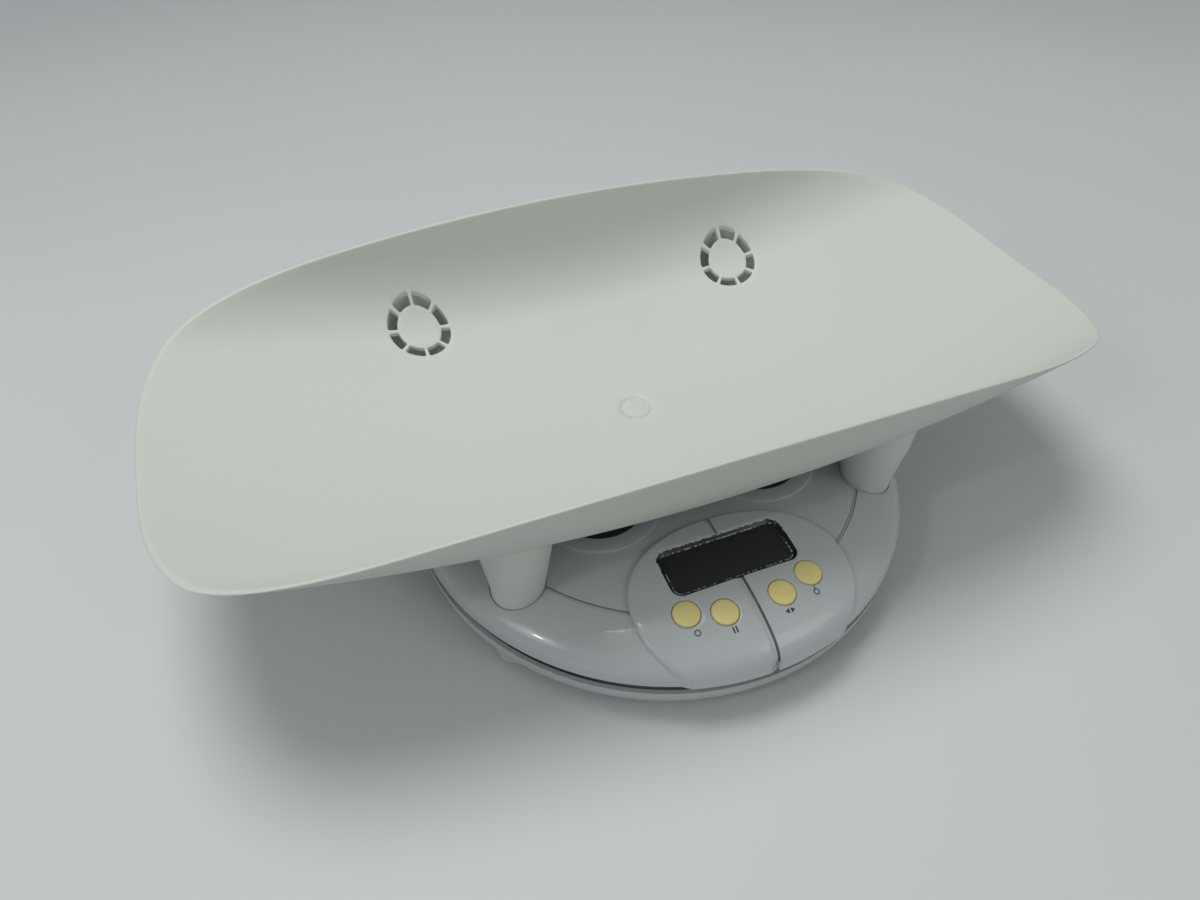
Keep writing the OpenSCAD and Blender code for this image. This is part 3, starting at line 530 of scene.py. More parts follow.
def moulded_plastic(name, colour, darker, rough, grain_scale, grain, coat=0.0, soil=0.25, painted_shade=None):
    """Injection-moulded plastic: faint clouding, a fine surface grain and a few specks of dust; an optional mask adds
    painted shade in crevices
    """
    f = Finish(name)
    cloud = f.spread(f.noise(9.0, 3.0), 0.35, 0.68)
    fine = f.noise(grain_scale, 2.0, 0.6)
    base = f.blend(cloud * soil + f.spread(fine, 0.3, 0.75) * 0.12, colour, darker)
    dust = f.specks(260.0, 0.045)
    base = f.blend(dust * 0.18, base, shade(150, 148, 138))
    if painted_shade:
        # painted shade: dark grey blended in where the mask marks a crevice
        base = f.blend(painted_shade(f), base, shade(52, 56, 56))
    f.set(Base_Color=base, Roughness=rough + (fine - 0.5) * 0.12 + cloud * 0.05,
          Normal=f.bump(fine, grain, 0.0003), Coat_Weight=coat, Coat_Roughness=0.08)
    return f.material


def tray_plastic():
    return moulded_plastic("tray_plastic", shade(208, 214, 205), shade(199, 206, 197), 0.52, 900.0, 0.30)


def shell_plastic(name="shell_plastic", painted_shade=None):
    """Satin plastic of the base; the optional mask gives where painted shade darkens it"""
    return moulded_plastic(name, shade(190, 196, 197), shade(183, 190, 191), 0.26, 1300.0, 0.05,
                           coat=0.5, soil=0.2, painted_shade=painted_shade)


def groove_painted_shade(f):
    """Painted shade along the two sides of the platform's groove"""
    x, y, z = f.axes()
    past_end = (abs(y - MID_Y * MM) - SPINE * MM).at_least(0.0)
    reach = (x * x + past_end * past_end) ** 0.5
    sides = reach.over(0.1257) * reach.under(0.1262) + reach.over(0.1272) * reach.under(0.1277)
    return sides * z.over(0.044) * 0.55


def channel_painted_shade(f):
    """Painted shade along the steep side of the fascia's channel, fainter behind the window"""
    x, y, z = f.axes()
    line = x.over(0.00115) * x.under(0.00215)
    return line * z.over(0.034) * (0.35 + y.under((PANEL_Y + 10 + MID_Y) * MM) * 0.4)


def button_plastic():
    f = Finish("button_plastic")
    cloud = f.noise(60.0, 2.0)
    fine = f.noise(1500.0, 2.0)
    base = f.blend(cloud, shade(241, 227, 153), shade(230, 215, 141))
    f.set(Base_Color=base, Roughness=0.38 + (fine - 0.5) * 0.15, Normal=f.bump(fine, 0.12, 0.0002))
    return f.material


def tinted_lens():
    """Dark tinted acrylic over a liquid-crystal glass that shows faintly as a lighter field"""
    f = Finish("tinted_lens")
    x, y, _ = f.axes()
    y_mid = (PANEL_Y + WINDOW_V + MID_Y) * MM
    field = abs(x).under(0.0335) * abs(y - y_mid).under(0.0122)
    haze = f.noise(55.0, 2.0)
    base = f.blend(field * 0.4, shade(20, 24, 25), shade(36, 41, 42))
    base = f.blend(f.spread(haze, 0.4, 0.8) * 0.1, base, shade(50, 54, 54))
    f.set(Base_Color=base, Roughness=0.3 + f.noise(300.0) * 0.08, Coat_Weight=0.15, Coat_Roughness=0.12)
    return f.material


def pad_rubber():
    f = Finish("pad_rubber")
    fine = f.noise(1100.0, 3.0, 0.7)
    base = f.blend(f.spread(f.noise(40.0), 0.35, 0.7), shade(26, 27, 34), shade(38, 40, 47))
    base = f.blend(f.specks(300.0, 0.05) * 0.4, base, shade(110, 110, 108))
    f.set(Base_Color=base, Roughness=0.55 + fine * 0.2, Normal=f.bump(fine, 0.4, 0.0003))
    return f.material


def foot_rubber():
    f = Finish("foot_rubber")
    fine = f.noise(900.0, 3.0, 0.7)
    base = f.blend(f.spread(f.noise(60.0), 0.3, 0.7), shade(182, 186, 184), shade(160, 165, 163))
    f.set(Base_Color=base, Roughness=0.7 + fine * 0.15, Normal=f.bump(fine, 0.4, 0.0003))
    return f.material


def worn_metal(name, light, dark, rough, stretch):
    f = Finish(name)
    brush = f.noise(900.0, 2.0, 0.6, stretch)
    stain = f.spread(f.noise(70.0, 4.0), 0.35, 0.75)
    f.set(Base_Color=f.blend(stain * 0.6 + brush * 0.3, light, dark), Metallic=0.95,
          Roughness=rough + brush * 0.15 + stain * 0.1, Normal=f.bump(brush, 0.15, 0.0002))
    return f.material


def plain_plastic(name, light, dark, rough, scale, grain):
    f = Finish(name)
    fine = f.noise(scale, 3.0, 0.6)
    f.set(Base_Color=f.blend(f.spread(f.noise(80.0), 0.3, 0.75), light, dark),
          Roughness=rough + (fine - 0.5) * 0.15, Normal=f.bump(fine, grain, 0.0002))
    return f.material


def display_glass():
    """The liquid-crystal glass: grey-green with the faint outlines of its unlit digits"""
    f = Finish("display_glass")
    x, y, _ = f.axes()
    cell = f.node("ShaderNodeMath", {"operation": "PINGPONG"}, {0: x, 1: 0.006})
    digit = cell.over(0.0012) * cell.under(0.0018)
    row = abs(y - (PANEL_Y + WINDOW_V + MID_Y) * MM).under(0.008)
    haze = f.noise(90.0)
    base = f.blend(haze * 0.3, shade(142, 152, 138), shade(126, 137, 124))
    base = f.blend(digit * row * 0.2, base, shade(60, 66, 60))
    f.set(Base_Color=base, Roughness=0.15 + haze * 0.05, Coat_Weight=0.4)
    return f.material


def board_laminate():
    """Green board with copper tracks under the solder mask"""
    f = Finish("board_laminate")
    x, y, _ = f.axes()
    step = f.node("ShaderNodeMath", {"operation": "PINGPONG"}, {0: x + y * 0.35, 1: 0.002})
    wave = f.noise(140.0, 1.0)
    track = step.under(0.0006) * wave.over(0.5)
    base = f.blend(track * 0.6, shade(34, 92, 58), shade(92, 128, 66))
    base = f.blend(f.noise(500.0) * 0.2, base, shade(24, 70, 46))
    f.set(Base_Color=base, Roughness=0.4, Normal=f.bump(track, 0.3, 0.0001), Coat_Weight=0.2)
    return f.material


def battery_case():
    """A block battery's plain two-tone case"""
    f = Finish("battery_case")
    x, _, _ = f.axes()
    band = x.over(0.006)
    scuff = f.spread(f.noise(160.0, 4.0, 0.7), 0.62, 0.75)
    base = f.blend(band, shade(42, 43, 47), shade(158, 124, 66))
    base = f.blend(scuff * 0.5, base, shade(120, 120, 118))
    f.set(Base_Color=base, Roughness=0.35 + scuff * 0.2, Metallic=band * 0.4)
    return f.material


def mark_ink():
    f = Finish("mark_ink")
    worn = f.spread(f.noise(2500.0, 3.0), 0.3, 0.8)
    f.set(Base_Color=f.blend(worn, shade(44, 48, 60), shade(66, 70, 82)), Roughness=0.5 + worn * 0.1)
    return f.material


def window_rim():
    """Glossy black bevel with painted highlights, broken glints, along its upper and lower lines"""
    f = Finish("window_rim")
    x, y, z = f.axes()
    y0, z0 = (PANEL_Y + WINDOW_V * TILT_COS + MID_Y) * MM, (PANEL_Z + WINDOW_V * TILT_SIN) * MM
    v = (y - y0) * TILT_COS + (z - z0) * TILT_SIN
    past_side = (abs(x) - (WINDOW_W / 2 - WINDOW_R) * MM).at_least(0.0)
    past_end = (abs(v) - (WINDOW_D / 2 - WINDOW_R) * MM).at_least(0.0)
    reach = (past_side * past_side + past_end * past_end) ** 0.5
    broken = f.noise(620.0, 3.0, 0.7).over(0.5)
    low_line = reach.over(0.00385) * reach.under(0.0046) * (v.under(0.002) + v.over(0.0125)).at_most(1.0)
    top_line = reach.over(0.00605) * v.over(0.004)
    # painted highlights: light broken lines painted on the bevel's edges
    painted_glint = (low_line * 0.8 + top_line) * broken
    f.set(Base_Color=f.blend(painted_glint * 0.9, shade(14, 15, 17), shade(214, 218, 216)),
          Roughness=0.25 + painted_glint * 0.3, Coat_Weight=0.2, Coat_Roughness=0.1)
    return f.material


def base_plastic():
    """The bottom shell: the cover's plastic, with the upstand behind the gap painted a dull dark olive as painted
    shade of the gap
    """
    f = Finish("base_plastic")
    _, _, z = f.axes()
    cloud = f.spread(f.noise(9.0, 3.0), 0.35, 0.68)
    fine = f.noise(1300.0, 2.0, 0.6)
    base = f.blend(cloud * 0.3, shade(190, 196, 197), shade(180, 187, 188))
    # painted shade: the upstand above the rim, inside the gap, is painted dark olive
    base = f.blend(z.over(0.0198) * 0.9, base, shade(112, 109, 86))
    f.set(Base_Color=base, Roughness=0.3 + (fine - 0.5) * 0.12, Normal=f.bump(fine, 0.05, 0.0003),
          Coat_Weight=0.2, Coat_Roughness=0.1)
    return f.material


finishes = {make.__name__: make() for make in (
    tray_plastic, shell_plastic, button_plastic, tinted_lens, pad_rubber, foot_rubber, display_glass,
    board_laminate, battery_case, mark_ink, window_rim, base_plastic)}
finishes["cover_plastic"] = shell_plastic("cover_plastic", groove_painted_shade)
finishes["fascia_plastic"] = shell_plastic("fascia_plastic", channel_painted_shade)
for name, light, dark, rough, stretch in (
        ("zinc_steel", (196, 199, 202), (150, 152, 150), 0.25, (1, 1, 1)),
        ("plate_steel", (168, 172, 176), (128, 130, 128), 0.35, (0.08, 1, 1)),
        ("cell_aluminium", (210, 212, 214), (176, 178, 180), 0.3, (0.05, 1, 1))):
    finishes[name] = worn_metal(name, shade(*light), shade(*dark), rough, stretch)
for name, light, dark, rough, scale, grain in (
        ("gauge_sealant", (232, 231, 224), (214, 212, 200), 0.45, 500.0, 0.5),
        ("cable_jacket", (186, 188, 188), (160, 162, 162), 0.5, 700.0, 0.2),
        ("dark_plastic", (44, 44, 46), (32, 32, 34), 0.5, 700.0, 0.2),
        ("connector_rubber", (84, 70, 80), (64, 54, 62), 0.75, 1200.0, 0.4),
        ("lead_jacket", (150, 34, 30), (122, 24, 22), 0.45, 700.0, 0.2)):
    finishes[name] = plain_plastic(name, shade(*light), shade(*dark), rough, scale, grain)

slots = {s["node"]: s["material_slot"] for s in frame["record"]["subparts"]}
for node, thing in frame["nodes"].items():
    thing.data.materials.clear()
    thing.data.materials.append(finishes["base_plastic" if node == "bottom_shell" else slots[node]])

# ---- tray ----

LEG_Y = 99.5
FRONT_LEG = {"x": 115.0, "y": -LEG_Y, "flare_r": 20.5, "flare_z": 83.0}
REAR_LEG = {"x": 118.0, "y": LEG_Y, "flare_r": 23.8, "flare_z": 72.5}
PEG_R, PEG_END_Z, PEG_TOP_Z, LEG_TOP_Z, LEG_WALL = 15.8, 35.1, 50.0, 121.0, 2.5
SLOT_MIDDLE_R, SLOT_HALF_R, SLOT_HALF_ANGLE = 17.5, 3.2, math.radians(18.9)
PLATE_R = 9.7
LIP = 1.05


def slot_loop(leg_x, i, grow, count=64):
    """One opening of the ring of slots over a rear leg, in plan"""
    turn = 2 * np.pi * np.arange(count) / count
    p = np.sign(np.cos(turn)) * np.abs(np.cos(turn)) ** 0.22
    q = np.sign(np.sin(turn)) * np.abs(np.sin(turn)) ** 0.22
    middle = math.radians(45 * i + 22.5)
    angle = middle - p * (SLOT_HALF_ANGLE + grow / SLOT_MIDDLE_R)
    radius = SLOT_MIDDLE_R + q * (SLOT_HALF_R + grow)
    return np.column_stack([leg_x + radius * np.cos(angle), LEG_Y + radius * np.sin(angle)])[::-1]


def on_face(plan, thick):
    return np.column_stack([plan[:, 0], run_at(plan[:, 1], thick)])


def leg_radius(leg, z, inset=0.0):
    return np.interp(z, [PEG_TOP_Z, leg["flare_z"], LEG_TOP_Z],
                     [PEG_R, leg["flare_r"], leg["flare_r"] + 1.2]) - inset


def leg_meets_tray(leg, side, turn, inset=0.0):
    low, high = np.full(len(turn), PEG_TOP_Z), np.full(len(turn), LEG_TOP_Z)
    for _ in range(40):
        mid = (low + high) / 2
        r = leg_radius(leg, mid, inset)
        over = mid > trough_height(side * leg["x"] + r * np.cos(turn), leg["y"] + r * np.sin(turn), TRAY_WALL)
        high = np.where(over, mid, high)
        low = np.where(over, low, mid)
    return (low + high) / 2


def add_leg(skin, leg, side):
    turn = 2 * np.pi * np.arange(96) / 96
    x, y = side * leg["x"], leg["y"]

    def row(radius, z):
        return np.column_stack([x + radius * np.cos(turn), y + radius * np.sin(turn), z * np.ones(len(turn))])

    fillet = 2.4
    meets = leg_meets_tray(leg, side, turn)
    rows = [row(PEG_R - 0.9, PEG_END_Z), row(PEG_R - 0.25, PEG_END_Z + 0.25), row(PEG_R, PEG_END_Z + 0.9),
            row(PEG_R, 42), row(PEG_R, PEG_TOP_Z - 0.4)]
    start = meets - fillet
    for k in np.linspace(0.03, 1, 14):
        z = PEG_TOP_Z + (start - PEG_TOP_Z) * k
        rows.append(row(leg_radius(leg, z), z))
    r0, r1, r2 = leg_radius(leg, start), leg_radius(leg, meets), leg_radius(leg, meets) + fillet
    end = trough_height(x + r2 * np.cos(turn), y + r2 * np.sin(turn), TRAY_WALL) + 0.04
    for k in np.linspace(0.14, 1, 7):
        radius = (1 - k) ** 2 * r0 + 2 * k * (1 - k) * r1 + k * k * r2
        rows.append(row(radius, (1 - k) ** 2 * start + 2 * k * (1 - k) * meets + k * k * end))
    skin.skirt(rows, flip=True)
    inner = leg_meets_tray(leg, side, turn, LEG_WALL) + 0.3
    rows = [row(PEG_R - 0.9, PEG_END_Z), row(PEG_R - LEG_WALL + 0.4, PEG_END_Z),
            row(PEG_R - LEG_WALL, PEG_END_Z + 0.4), row(PEG_R - LEG_WALL, PEG_TOP_Z)]
    for k in np.linspace(0.05, 1, 12):
        z = PEG_TOP_Z + (inner - PEG_TOP_Z) * k
        rows.append(row(leg_radius(leg, z, LEG_WALL), z))
    skin.skirt(rows)


def make_tray():
    skin = Skin()
    inner_rim, outer_rim = rim_loop(0.0), rim_loop(TRAY_WALL)
    inner_in = inner_rim - loop_normals(inner_rim) * LIP
    outer_in = outer_rim - loop_normals(outer_rim) * LIP
    slot_places = [(side * REAR_LEG["x"], i) for side in (-1, 1) for i in range(8)]
    fine = [(side * REAR_LEG["x"] + dx, run_at(np.array([LEG_Y + dy]), 0)[0])
            for side in (-1, 1) for dx in np.arange(-34, 34.1, 2.2) for dy in np.arange(-30, 22.1, 2.2)
            if 22.5 < math.hypot(dx, dy) < 34 or math.hypot(dx, dy) < 13]

    # inner face, with the recess for the small round plate and the rear legs' slots
    recess = circle(0, 0, PLATE_R + 0.28, 72)
    holes = [on_face(recess, 0)] + [on_face(slot_loop(x, i, 0.35), 0) for x, i in slot_places]
    flat, faces, borders = sheet(inner_in, holes, (), 4.2, fine)
    points = trough(flat, 0)
    skin.add(points, faces)
    rim = points[borders[1]]
    plan = rim[:, :2]
    unit = plan / np.linalg.norm(plan, axis=1)[:, None]
    skin.skirt([rim] + [np.column_stack([unit * r, np.full(len(rim), z) if z < 58.9 else rim[:, 2] - 0.12])
                        for r, z in ((PLATE_R + 0.13, 59), (PLATE_R + 0.1, 58.2), (PLATE_R + 0.1, 58.0), (0, 58.0))])
    for border, (x, i) in zip(borders[2:], slot_places):
        rim = points[border]
        wide, narrow = slot_loop(x, i, 0.35), slot_loop(x, i, 0.1)
        tight = slot_loop(x, i, 0.0)
        order = nearest(rim[:, :2], wide)
        rows = [rim]
        for loop, drop in ((narrow, 0.1), (tight, 0.35)):
            loop = loop[order]
            rows.append(np.column_stack([loop, trough_height(loop[:, 0], loop[:, 1], 0) - drop]))
        loop = tight[order]
        rows.append(np.column_stack([loop, trough_height(loop[:, 0], loop[:, 1], TRAY_WALL)]))
        skin.skirt(rows)

    # outer face
    holes = [on_face(slot_loop(x, i, 0.0), TRAY_WALL) for x, i in slot_places]
    flat, faces, borders = sheet(outer_in, holes, (), 4.2, fine)
    skin.add(trough(flat, TRAY_WALL), faces, flip=True)

    # rounded rim from the inner face over to the outer one
    a, a0 = trough(inner_in, 0), trough(inner_rim, 0)
    b, b0 = trough(outer_in, TRAY_WALL), trough(outer_rim, TRAY_WALL)
    across = (b0 - a0) * (LIP / TRAY_WALL)
    rows = []
    for k in np.radians(np.linspace(0, 90, 7)):
        rows.append(a0 + (a - a0) * (1 - math.sin(k)) + across * (1 - math.cos(k)))
    for k in np.radians(np.linspace(90, 0, 7)):
        rows.append(b0 + (b - b0) * (1 - math.sin(k)) - across * (1 - math.cos(k)))
    skin.skirt(rows)

    for leg in (FRONT_LEG, REAR_LEG):
        for side in (-1, 1):
            add_leg(skin, leg, side)
    return skin.piece("tray", finishes["tray_plastic"], "tray", ["tray_shell"], 40)


def make_centre_plate():
    skin = Skin()
    skin.turned([(0, 58.05), (PLATE_R - 0.25, 58.05), (PLATE_R, 58.3), (PLATE_R, 58.95), (PLATE_R - 0.08, 59.1),
                 (PLATE_R - 0.3, 59.18), (8.4, 59.2), (8.2, 59.12), (8.0, 59.2), (4, 59.22), (0, 59.22)],
                lambda p: p, 120)
    return skin.piece("centre_plate", finishes["tray_plastic"], "tray", ["tray_centre_plate"], 30)


# ---- platform ----

CORNERS = {"front_left": (-1, -1), "rear_left": (-1, 1), "front_right": (1, -1), "rear_right": (1, 1)}
PADS = [(sx * 53.2, sy * 63.9) for sx, sy in CORNERS.values()]
LEGS = [(-115.0, -LEG_Y), (115.0, -LEG_Y), (-118.0, LEG_Y), (118.0, LEG_Y)]
BUTTONS = {"zero": (-38.0, -5.6), "hold": (-17.7, -11.9), "units": (17.7, -11.9), "power": (38.0, -5.6)}
GROOVE = [(125.75, 0.0), (125.95, 0.9), (127.45, 0.9), (127.65, 0.0)]


def turned_rows(rim, centre, steps):
    """Rows that follow a border round a centre; a step is [radius, height or a drop below the border]"""
    away = rim[:, :2] - centre
    unit = away / np.linalg.norm(away, axis=1)[:, None]
    rows = [rim]
    for radius, height in steps:
        z = rim[:, 2] - height[0] if isinstance(height, tuple) else np.full(len(rim), height)
        rows.append(np.column_stack([centre + unit * radius, z]))
    return rows


def button_pair_loop(side, count=24):
    """The opening under a pair of buttons, on the control panel's plane"""
    (u0, v0), (u1, v1) = BUTTONS["units"], BUTTONS["power"]
    lean = math.atan2(v1 - v0, u1 - u0)
    loop = []
    for u, v, start in ((u1, v1, -90), (u0, v0, 90)):
        for i in range(count + 1):
            turn = lean + math.radians(start + 180 * i / count)
            loop.append((u + 9.5 * math.cos(turn), v + 9.5 * math.sin(turn)))
    loop = np.array(loop)
    return loop if side > 0 else (loop * (-1, 1))[::-1]


def make_platform():
    skin = Skin()
    dome = platform_dome
    ring_edge = 39.2
    plans = [circle(x, y, 16.6, 84) for x, y in LEGS] + [circle(x, y, ring_edge, 132) for x, y in PADS]
    openings = [rounded_box(82.2, 33.8, 7.9, 8) + (0, WINDOW_V), button_pair_loop(-1), button_pair_loop(1)]
    plans += [panel_plan(loop, dome) for loop in openings]
    lines = [(dome.unroll(dome.ring(d)), True) for d, _ in GROOVE]
    lines += [(dome.unroll(dome.ring(d)), True) for d in (149.5, 152.5, 154.6, 155.9, 156.7, 157.2)]
    flat, faces, borders = sheet(dome.unroll(dome.ring(COVER_R)), [dome.unroll(p) for p in plans], lines, 4.0)
    points = dome.points(flat)
    distance = dome.distance(points[:, :2])
    points[:, 2] -= np.interp(distance, [d for d, _ in GROOVE], [deep for _, deep in GROOVE])
    skin.add(points, faces)

    for border, centre in zip(borders[1:5], LEGS):
        skin.skirt(turned_rows(points[border], np.array(centre), [
            (16.4, (0.05,)), (16.25, (0.18,)), (16.2, (0.5,)), (16.2, 36.0), (15.9, 35.3), (15.4, 35.1),
            (4.5, 35.1), (4.1, 35.3), (4.0, 35.8), (3.9, 40.7), (3.6, 41.05), (1.6, 41.1), (1.45, 40.9),
            (1.4, 38.0), (0.0, 38.0)]))
    for border, centre in zip(borders[5:9], PADS):
        rim = points[border]
        away = rim[:, :2] - centre
        unit = away / np.linalg.norm(away, axis=1)[:, None]
        rows = [rim]
        for radius, share in ((38.85, 0.03), (38.62, 0.14), (38.52, 0.35), (38.46, 0.62), (38.34, 0.84),
                              (38.1, 0.96), (37.7, 1.0), (29.4, 1.0)):
            rows.append(np.column_stack([np.array(centre) + unit * radius, rim[:, 2] + share * (53.4 - rim[:, 2])]))
        for radius, z in ((29.0, 53.32), (28.78, 53.1), (28.7, 52.75), (28.7, 51.8), (0.0, 51.8)):
            rows.append(at_height(np.array(centre) + unit * radius, z))
        skin.skirt(rows)
    for border in borders[9:]:
        rim = points[border]
        skin.skirt([rim, rim - np.array([0, -TILT_SIN, TILT_COS]) * 2.8])

    # lower edge and the inside of the dome
    inside = platform_inside
    rim = points[borders[0]]
    near, unit, _ = dome.away(rim[:, :2])
    rows = [rim]
    for d, z in [(157.3, 27.75), (156.9, 27.6), (155.5, 27.6), (155.05, 27.8), (COVER_INNER_R, EDGE_Z)]:
        rows.append(at_height(near + unit * d, z))
    skin.skirt(rows)
    flat, faces, _ = sheet(inside.unroll(near + unit * COVER_INNER_R),
                           [inside.unroll(panel_plan(loop, inside)) for loop in openings], (), 5.0)
    skin.add(inside.points(flat), faces, flip=True)
    return skin.piece("platform_cover", finishes["cover_plastic"], "platform",
                      ["platform_shell"], 32)


def make_pads():
    for name, (x, y) in zip(CORNERS, PADS):
        skin = Skin()
        skin.turned([(0, 51.85), (28.2, 51.85), (28.3, 51.95), (28.3, 52.5), (28.15, 52.75), (27.8, 52.9),
                     (26.4, 52.92), (26.0, 52.82), (25.6, 52.92), (12, 52.95), (0, 52.95)],
                    lambda p, x=x, y=y: p + (x, y, 0), 144)
        skin.piece("pad_" + name, finishes["pad_rubber"], "platform", ["standing_pad_" + name], 40)


# ---- control fascia ----

FASCIA_W, FASCIA_D, FASCIA_POWER = 66.0, 48.5, 2.2
CHANNEL = [(-2.9, 0.0), (-2.3, 0.12), (-1.5, 0.44), (-0.7, 0.8), (0.1, 1.02), (0.8, 1.1), (1.15, 1.5), (1.8, 1.6),
           (2.05, 0.5), (2.3, 0.0)]
CHANNEL_X = [x for x, _ in CHANNEL]


def channel_depth(x):
    return np.interp(x, CHANNEL_X, [d for _, d in CHANNEL])


def fascia_outline():
    """The fascia's edge in plan: an oval whose front is cut by the edge of its dome"""
    turn = np.radians(np.arange(0, 360, 1.0))
    c, s = np.cos(turn), np.sin(turn)
    loop = np.column_stack([FASCIA_W * np.sign(c) * np.abs(c) ** (2 / FASCIA_POWER),
                            FASCIA_D * np.sign(s) * np.abs(s) ** (2 / FASCIA_POWER)])
    near = sorted(set(CHANNEL_X) | {-4.2, -3.5, 3.3, 4.2})
    rear = [(x, FASCIA_D * (1 - (abs(x) / FASCIA_W) ** FASCIA_POWER) ** (1 / FASCIA_POWER)) for x in near[::-1]]
    middle = next(i for i, p in enumerate(loop) if p[0] < 0)
    loop = [tuple(p) for p in loop[:middle] if p[0] > 4.5] + rear + [tuple(p) for p in loop[middle:] if p[0] < -4.5] \
        + [(x, -FASCIA_D) for x in near] + [tuple(p) for p in loop[middle:] if p[0] > 4.5]
    loop = np.array(loop) + (0, PANEL_Y)
    past = (fascia_dome.distance(loop) > fascia_dome.radius) & (loop[:, 1] < PANEL_Y)
    loop[past, 1] = -fascia_dome.spine - np.sqrt(fascia_dome.radius ** 2 - loop[past, 0] ** 2)
    return np.array(tidy_loop(loop))


def make_fascia():
    skin = Skin()
    dome = fascia_dome
    outline = fascia_outline()
    normal = loop_normals(outline)
    narrow = np.abs(outline[:, 0]) < 4.4
    normal[narrow] = np.column_stack([np.zeros(narrow.sum()), np.sign(outline[narrow, 1] - PANEL_Y)])
    reach = dome.distance(outline)
    foot = np.where(reach < COVER_R + SEAT_GAP, platform_dome.height(reach) + SEAT_GAP, EDGE_Z)
    drop = dome.height(reach) - foot
    edge = 1.5 * np.clip(drop / 3, 0, 1)
    inner = outline - normal * edge[:, None]

    window = rounded_box(WINDOW_W + 0.9, WINDOW_D + 0.9, WINDOW_R + 0.45, 10, CHANNEL_X) + (0, WINDOW_V)
    window_plan = panel_plan(window, dome)
    holes = [window_plan] + [panel_plan(circle(u, v, 8.45, 72), dome) for u, v in BUTTONS.values()]
    lines = []
    for x in CHANNEL_X:
        (before, behind), (bottom, top) = ends_at(inner, x), ends_at(window_plan, x)
        for first, last in ((behind, top), (bottom, before)):
            count = max(int(abs(last - first) / 1.6), 2)
            lines.append((dome.unroll(np.column_stack([np.full(count + 1, x), np.linspace(first, last, count + 1)])),
                          False))
    flat, faces, borders = sheet(dome.unroll(inner), [dome.unroll(h) for h in holes], lines, 2.2)

    def surface(flat):
        points = dome.points(flat)
        return points - dome.lean(flat) * channel_depth(points[:, 0])[:, None]

    points = surface(flat)
    skin.add(points, faces)

    # rounded shoulder, side wall and the front's lower edge
    rim = borders[0]
    order = nearest(dome.plan(flat[rim]), inner)
    away, round_by, low = normal[order], edge[order], foot[order]
    rows = [points[rim]]
    for k in np.radians([15, 30, 45, 60, 75, 90]):
        plan = inner[order] + away * (round_by * math.sin(k))[:, None]
        row = surface(dome.unroll(plan))
        row[:, 2] -= round_by * (1 - math.cos(k))
        rows.append(row)
    last = rows[-1]
    for share in (0.35, 0.75):
        row = last.copy()
        row[:, 2] = last[:, 2] + (np.minimum(low + 0.5, last[:, 2]) - last[:, 2]) * share
        rows.append(row)
    over = reach[order] >= COVER_R + SEAT_GAP
    row = last.copy()
    row[:, 2] = np.where(over, np.minimum(EDGE_Z + 0.3, last[:, 2]), low)
    rows.append(row)
    tuck = last.copy()
    tuck[:, :2] -= away * np.where(over, 0.4, 0.0)[:, None]
    tuck[:, 2] = np.where(over, EDGE_Z, low - 0.1)
    rows.append(tuck)
    near, unit, _ = dome.away(tuck[:, :2])
    under = tuck.copy()
    under[:, :2] = np.where(over[:, None], near + unit * (COVER_R + 2 * SEAT_GAP), tuck[:, :2])
    rows.append(under)
    skin.skirt(rows)

    # window
    rim = borders[1]
    order = nearest(dome.plan(flat[rim]), window_plan)
    panel = to_panel(points[rim])
    shape = loop_normals(window - (0, WINDOW_V))[order]
    rows = [points[rim]]
    for shrink, drop_w in ((0.14, 0.04), (0.3, 0.13), (0.42, 0.28), (0.45, 0.45)):
        flat_uv = window[order] - shape * shrink
        rows.append(from_panel(flat_uv[:, 0], flat_uv[:, 1], panel[:, 2] - drop_w))
    for grow in (-0.45, 0.35):
        flat_uv = window[order] + shape * grow
        rows.append(from_panel(flat_uv[:, 0], flat_uv[:, 1], -1.93))
    skin.skirt(rows)

    # button holes
    for border, (u, v) in zip(borders[2:], BUTTONS.values()):
        panel = to_panel(points[border])
        away = panel[:, :2] - (u, v)
        unit = away / np.linalg.norm(away, axis=1)[:, None]
        rows = [points[border]]
        for radius, drop_w in ((8.3, 0.05), (8.2, 0.15), (8.15, 0.32)):
            rows.append(from_panel(u + unit[:, 0] * radius, v + unit[:, 1] * radius, panel[:, 2] - drop_w))
        for radius, w in ((8.15, -2.6), (9.0, -2.6), (9.0, -3.9)):
            rows.append(from_panel(u + unit[:, 0] * radius, v + unit[:, 1] * radius, w))
        skin.skirt(rows)
    return skin.piece("fascia", finishes["fascia_plastic"], "platform", ["control_fascia"], 32)


def make_buttons():
    for name, (u, v) in BUTTONS.items():
        skin = Skin()
        skin.turned([(0, -5.5), (2.9, -5.5), (3.0, -5.4), (3.0, -3.9), (3.1, -3.8), (8.4, -3.8), (8.6, -3.6),
                     (8.6, -3.0), (8.4, -2.8), (7.9, -2.8), (7.8, -2.7), (7.8, -0.2), (7.74, 0.12), (7.56, 0.4),
                     (7.2, 0.64), (6.6, 0.8), (5.4, 0.96), (3.6, 1.07), (1.8, 1.13), (0, 1.15)],
                    lambda p, u=u, v=v: from_panel(p[:, 0] + u, p[:, 1] + v, p[:, 2]), 96)
        skin.piece("button_" + name + "_cap", finishes["button_plastic"], name + "_button",
                   ["button_" + name], 40)


def on_fascia(uv, lift):
    """Points just above the fascia over places of the control panel"""
    plan = panel_plan(np.asarray(uv, float), fascia_dome)
    flat = fascia_dome.unroll(plan)
    return fascia_dome.points(flat) + fascia_dome.lean(flat) * lift


def mark(skin, loop, holes=()):
    flat, faces, _ = sheet(np.array(loop, float), holes, (), 0.8)
    skin.add(on_fascia(flat, 0.035), faces)


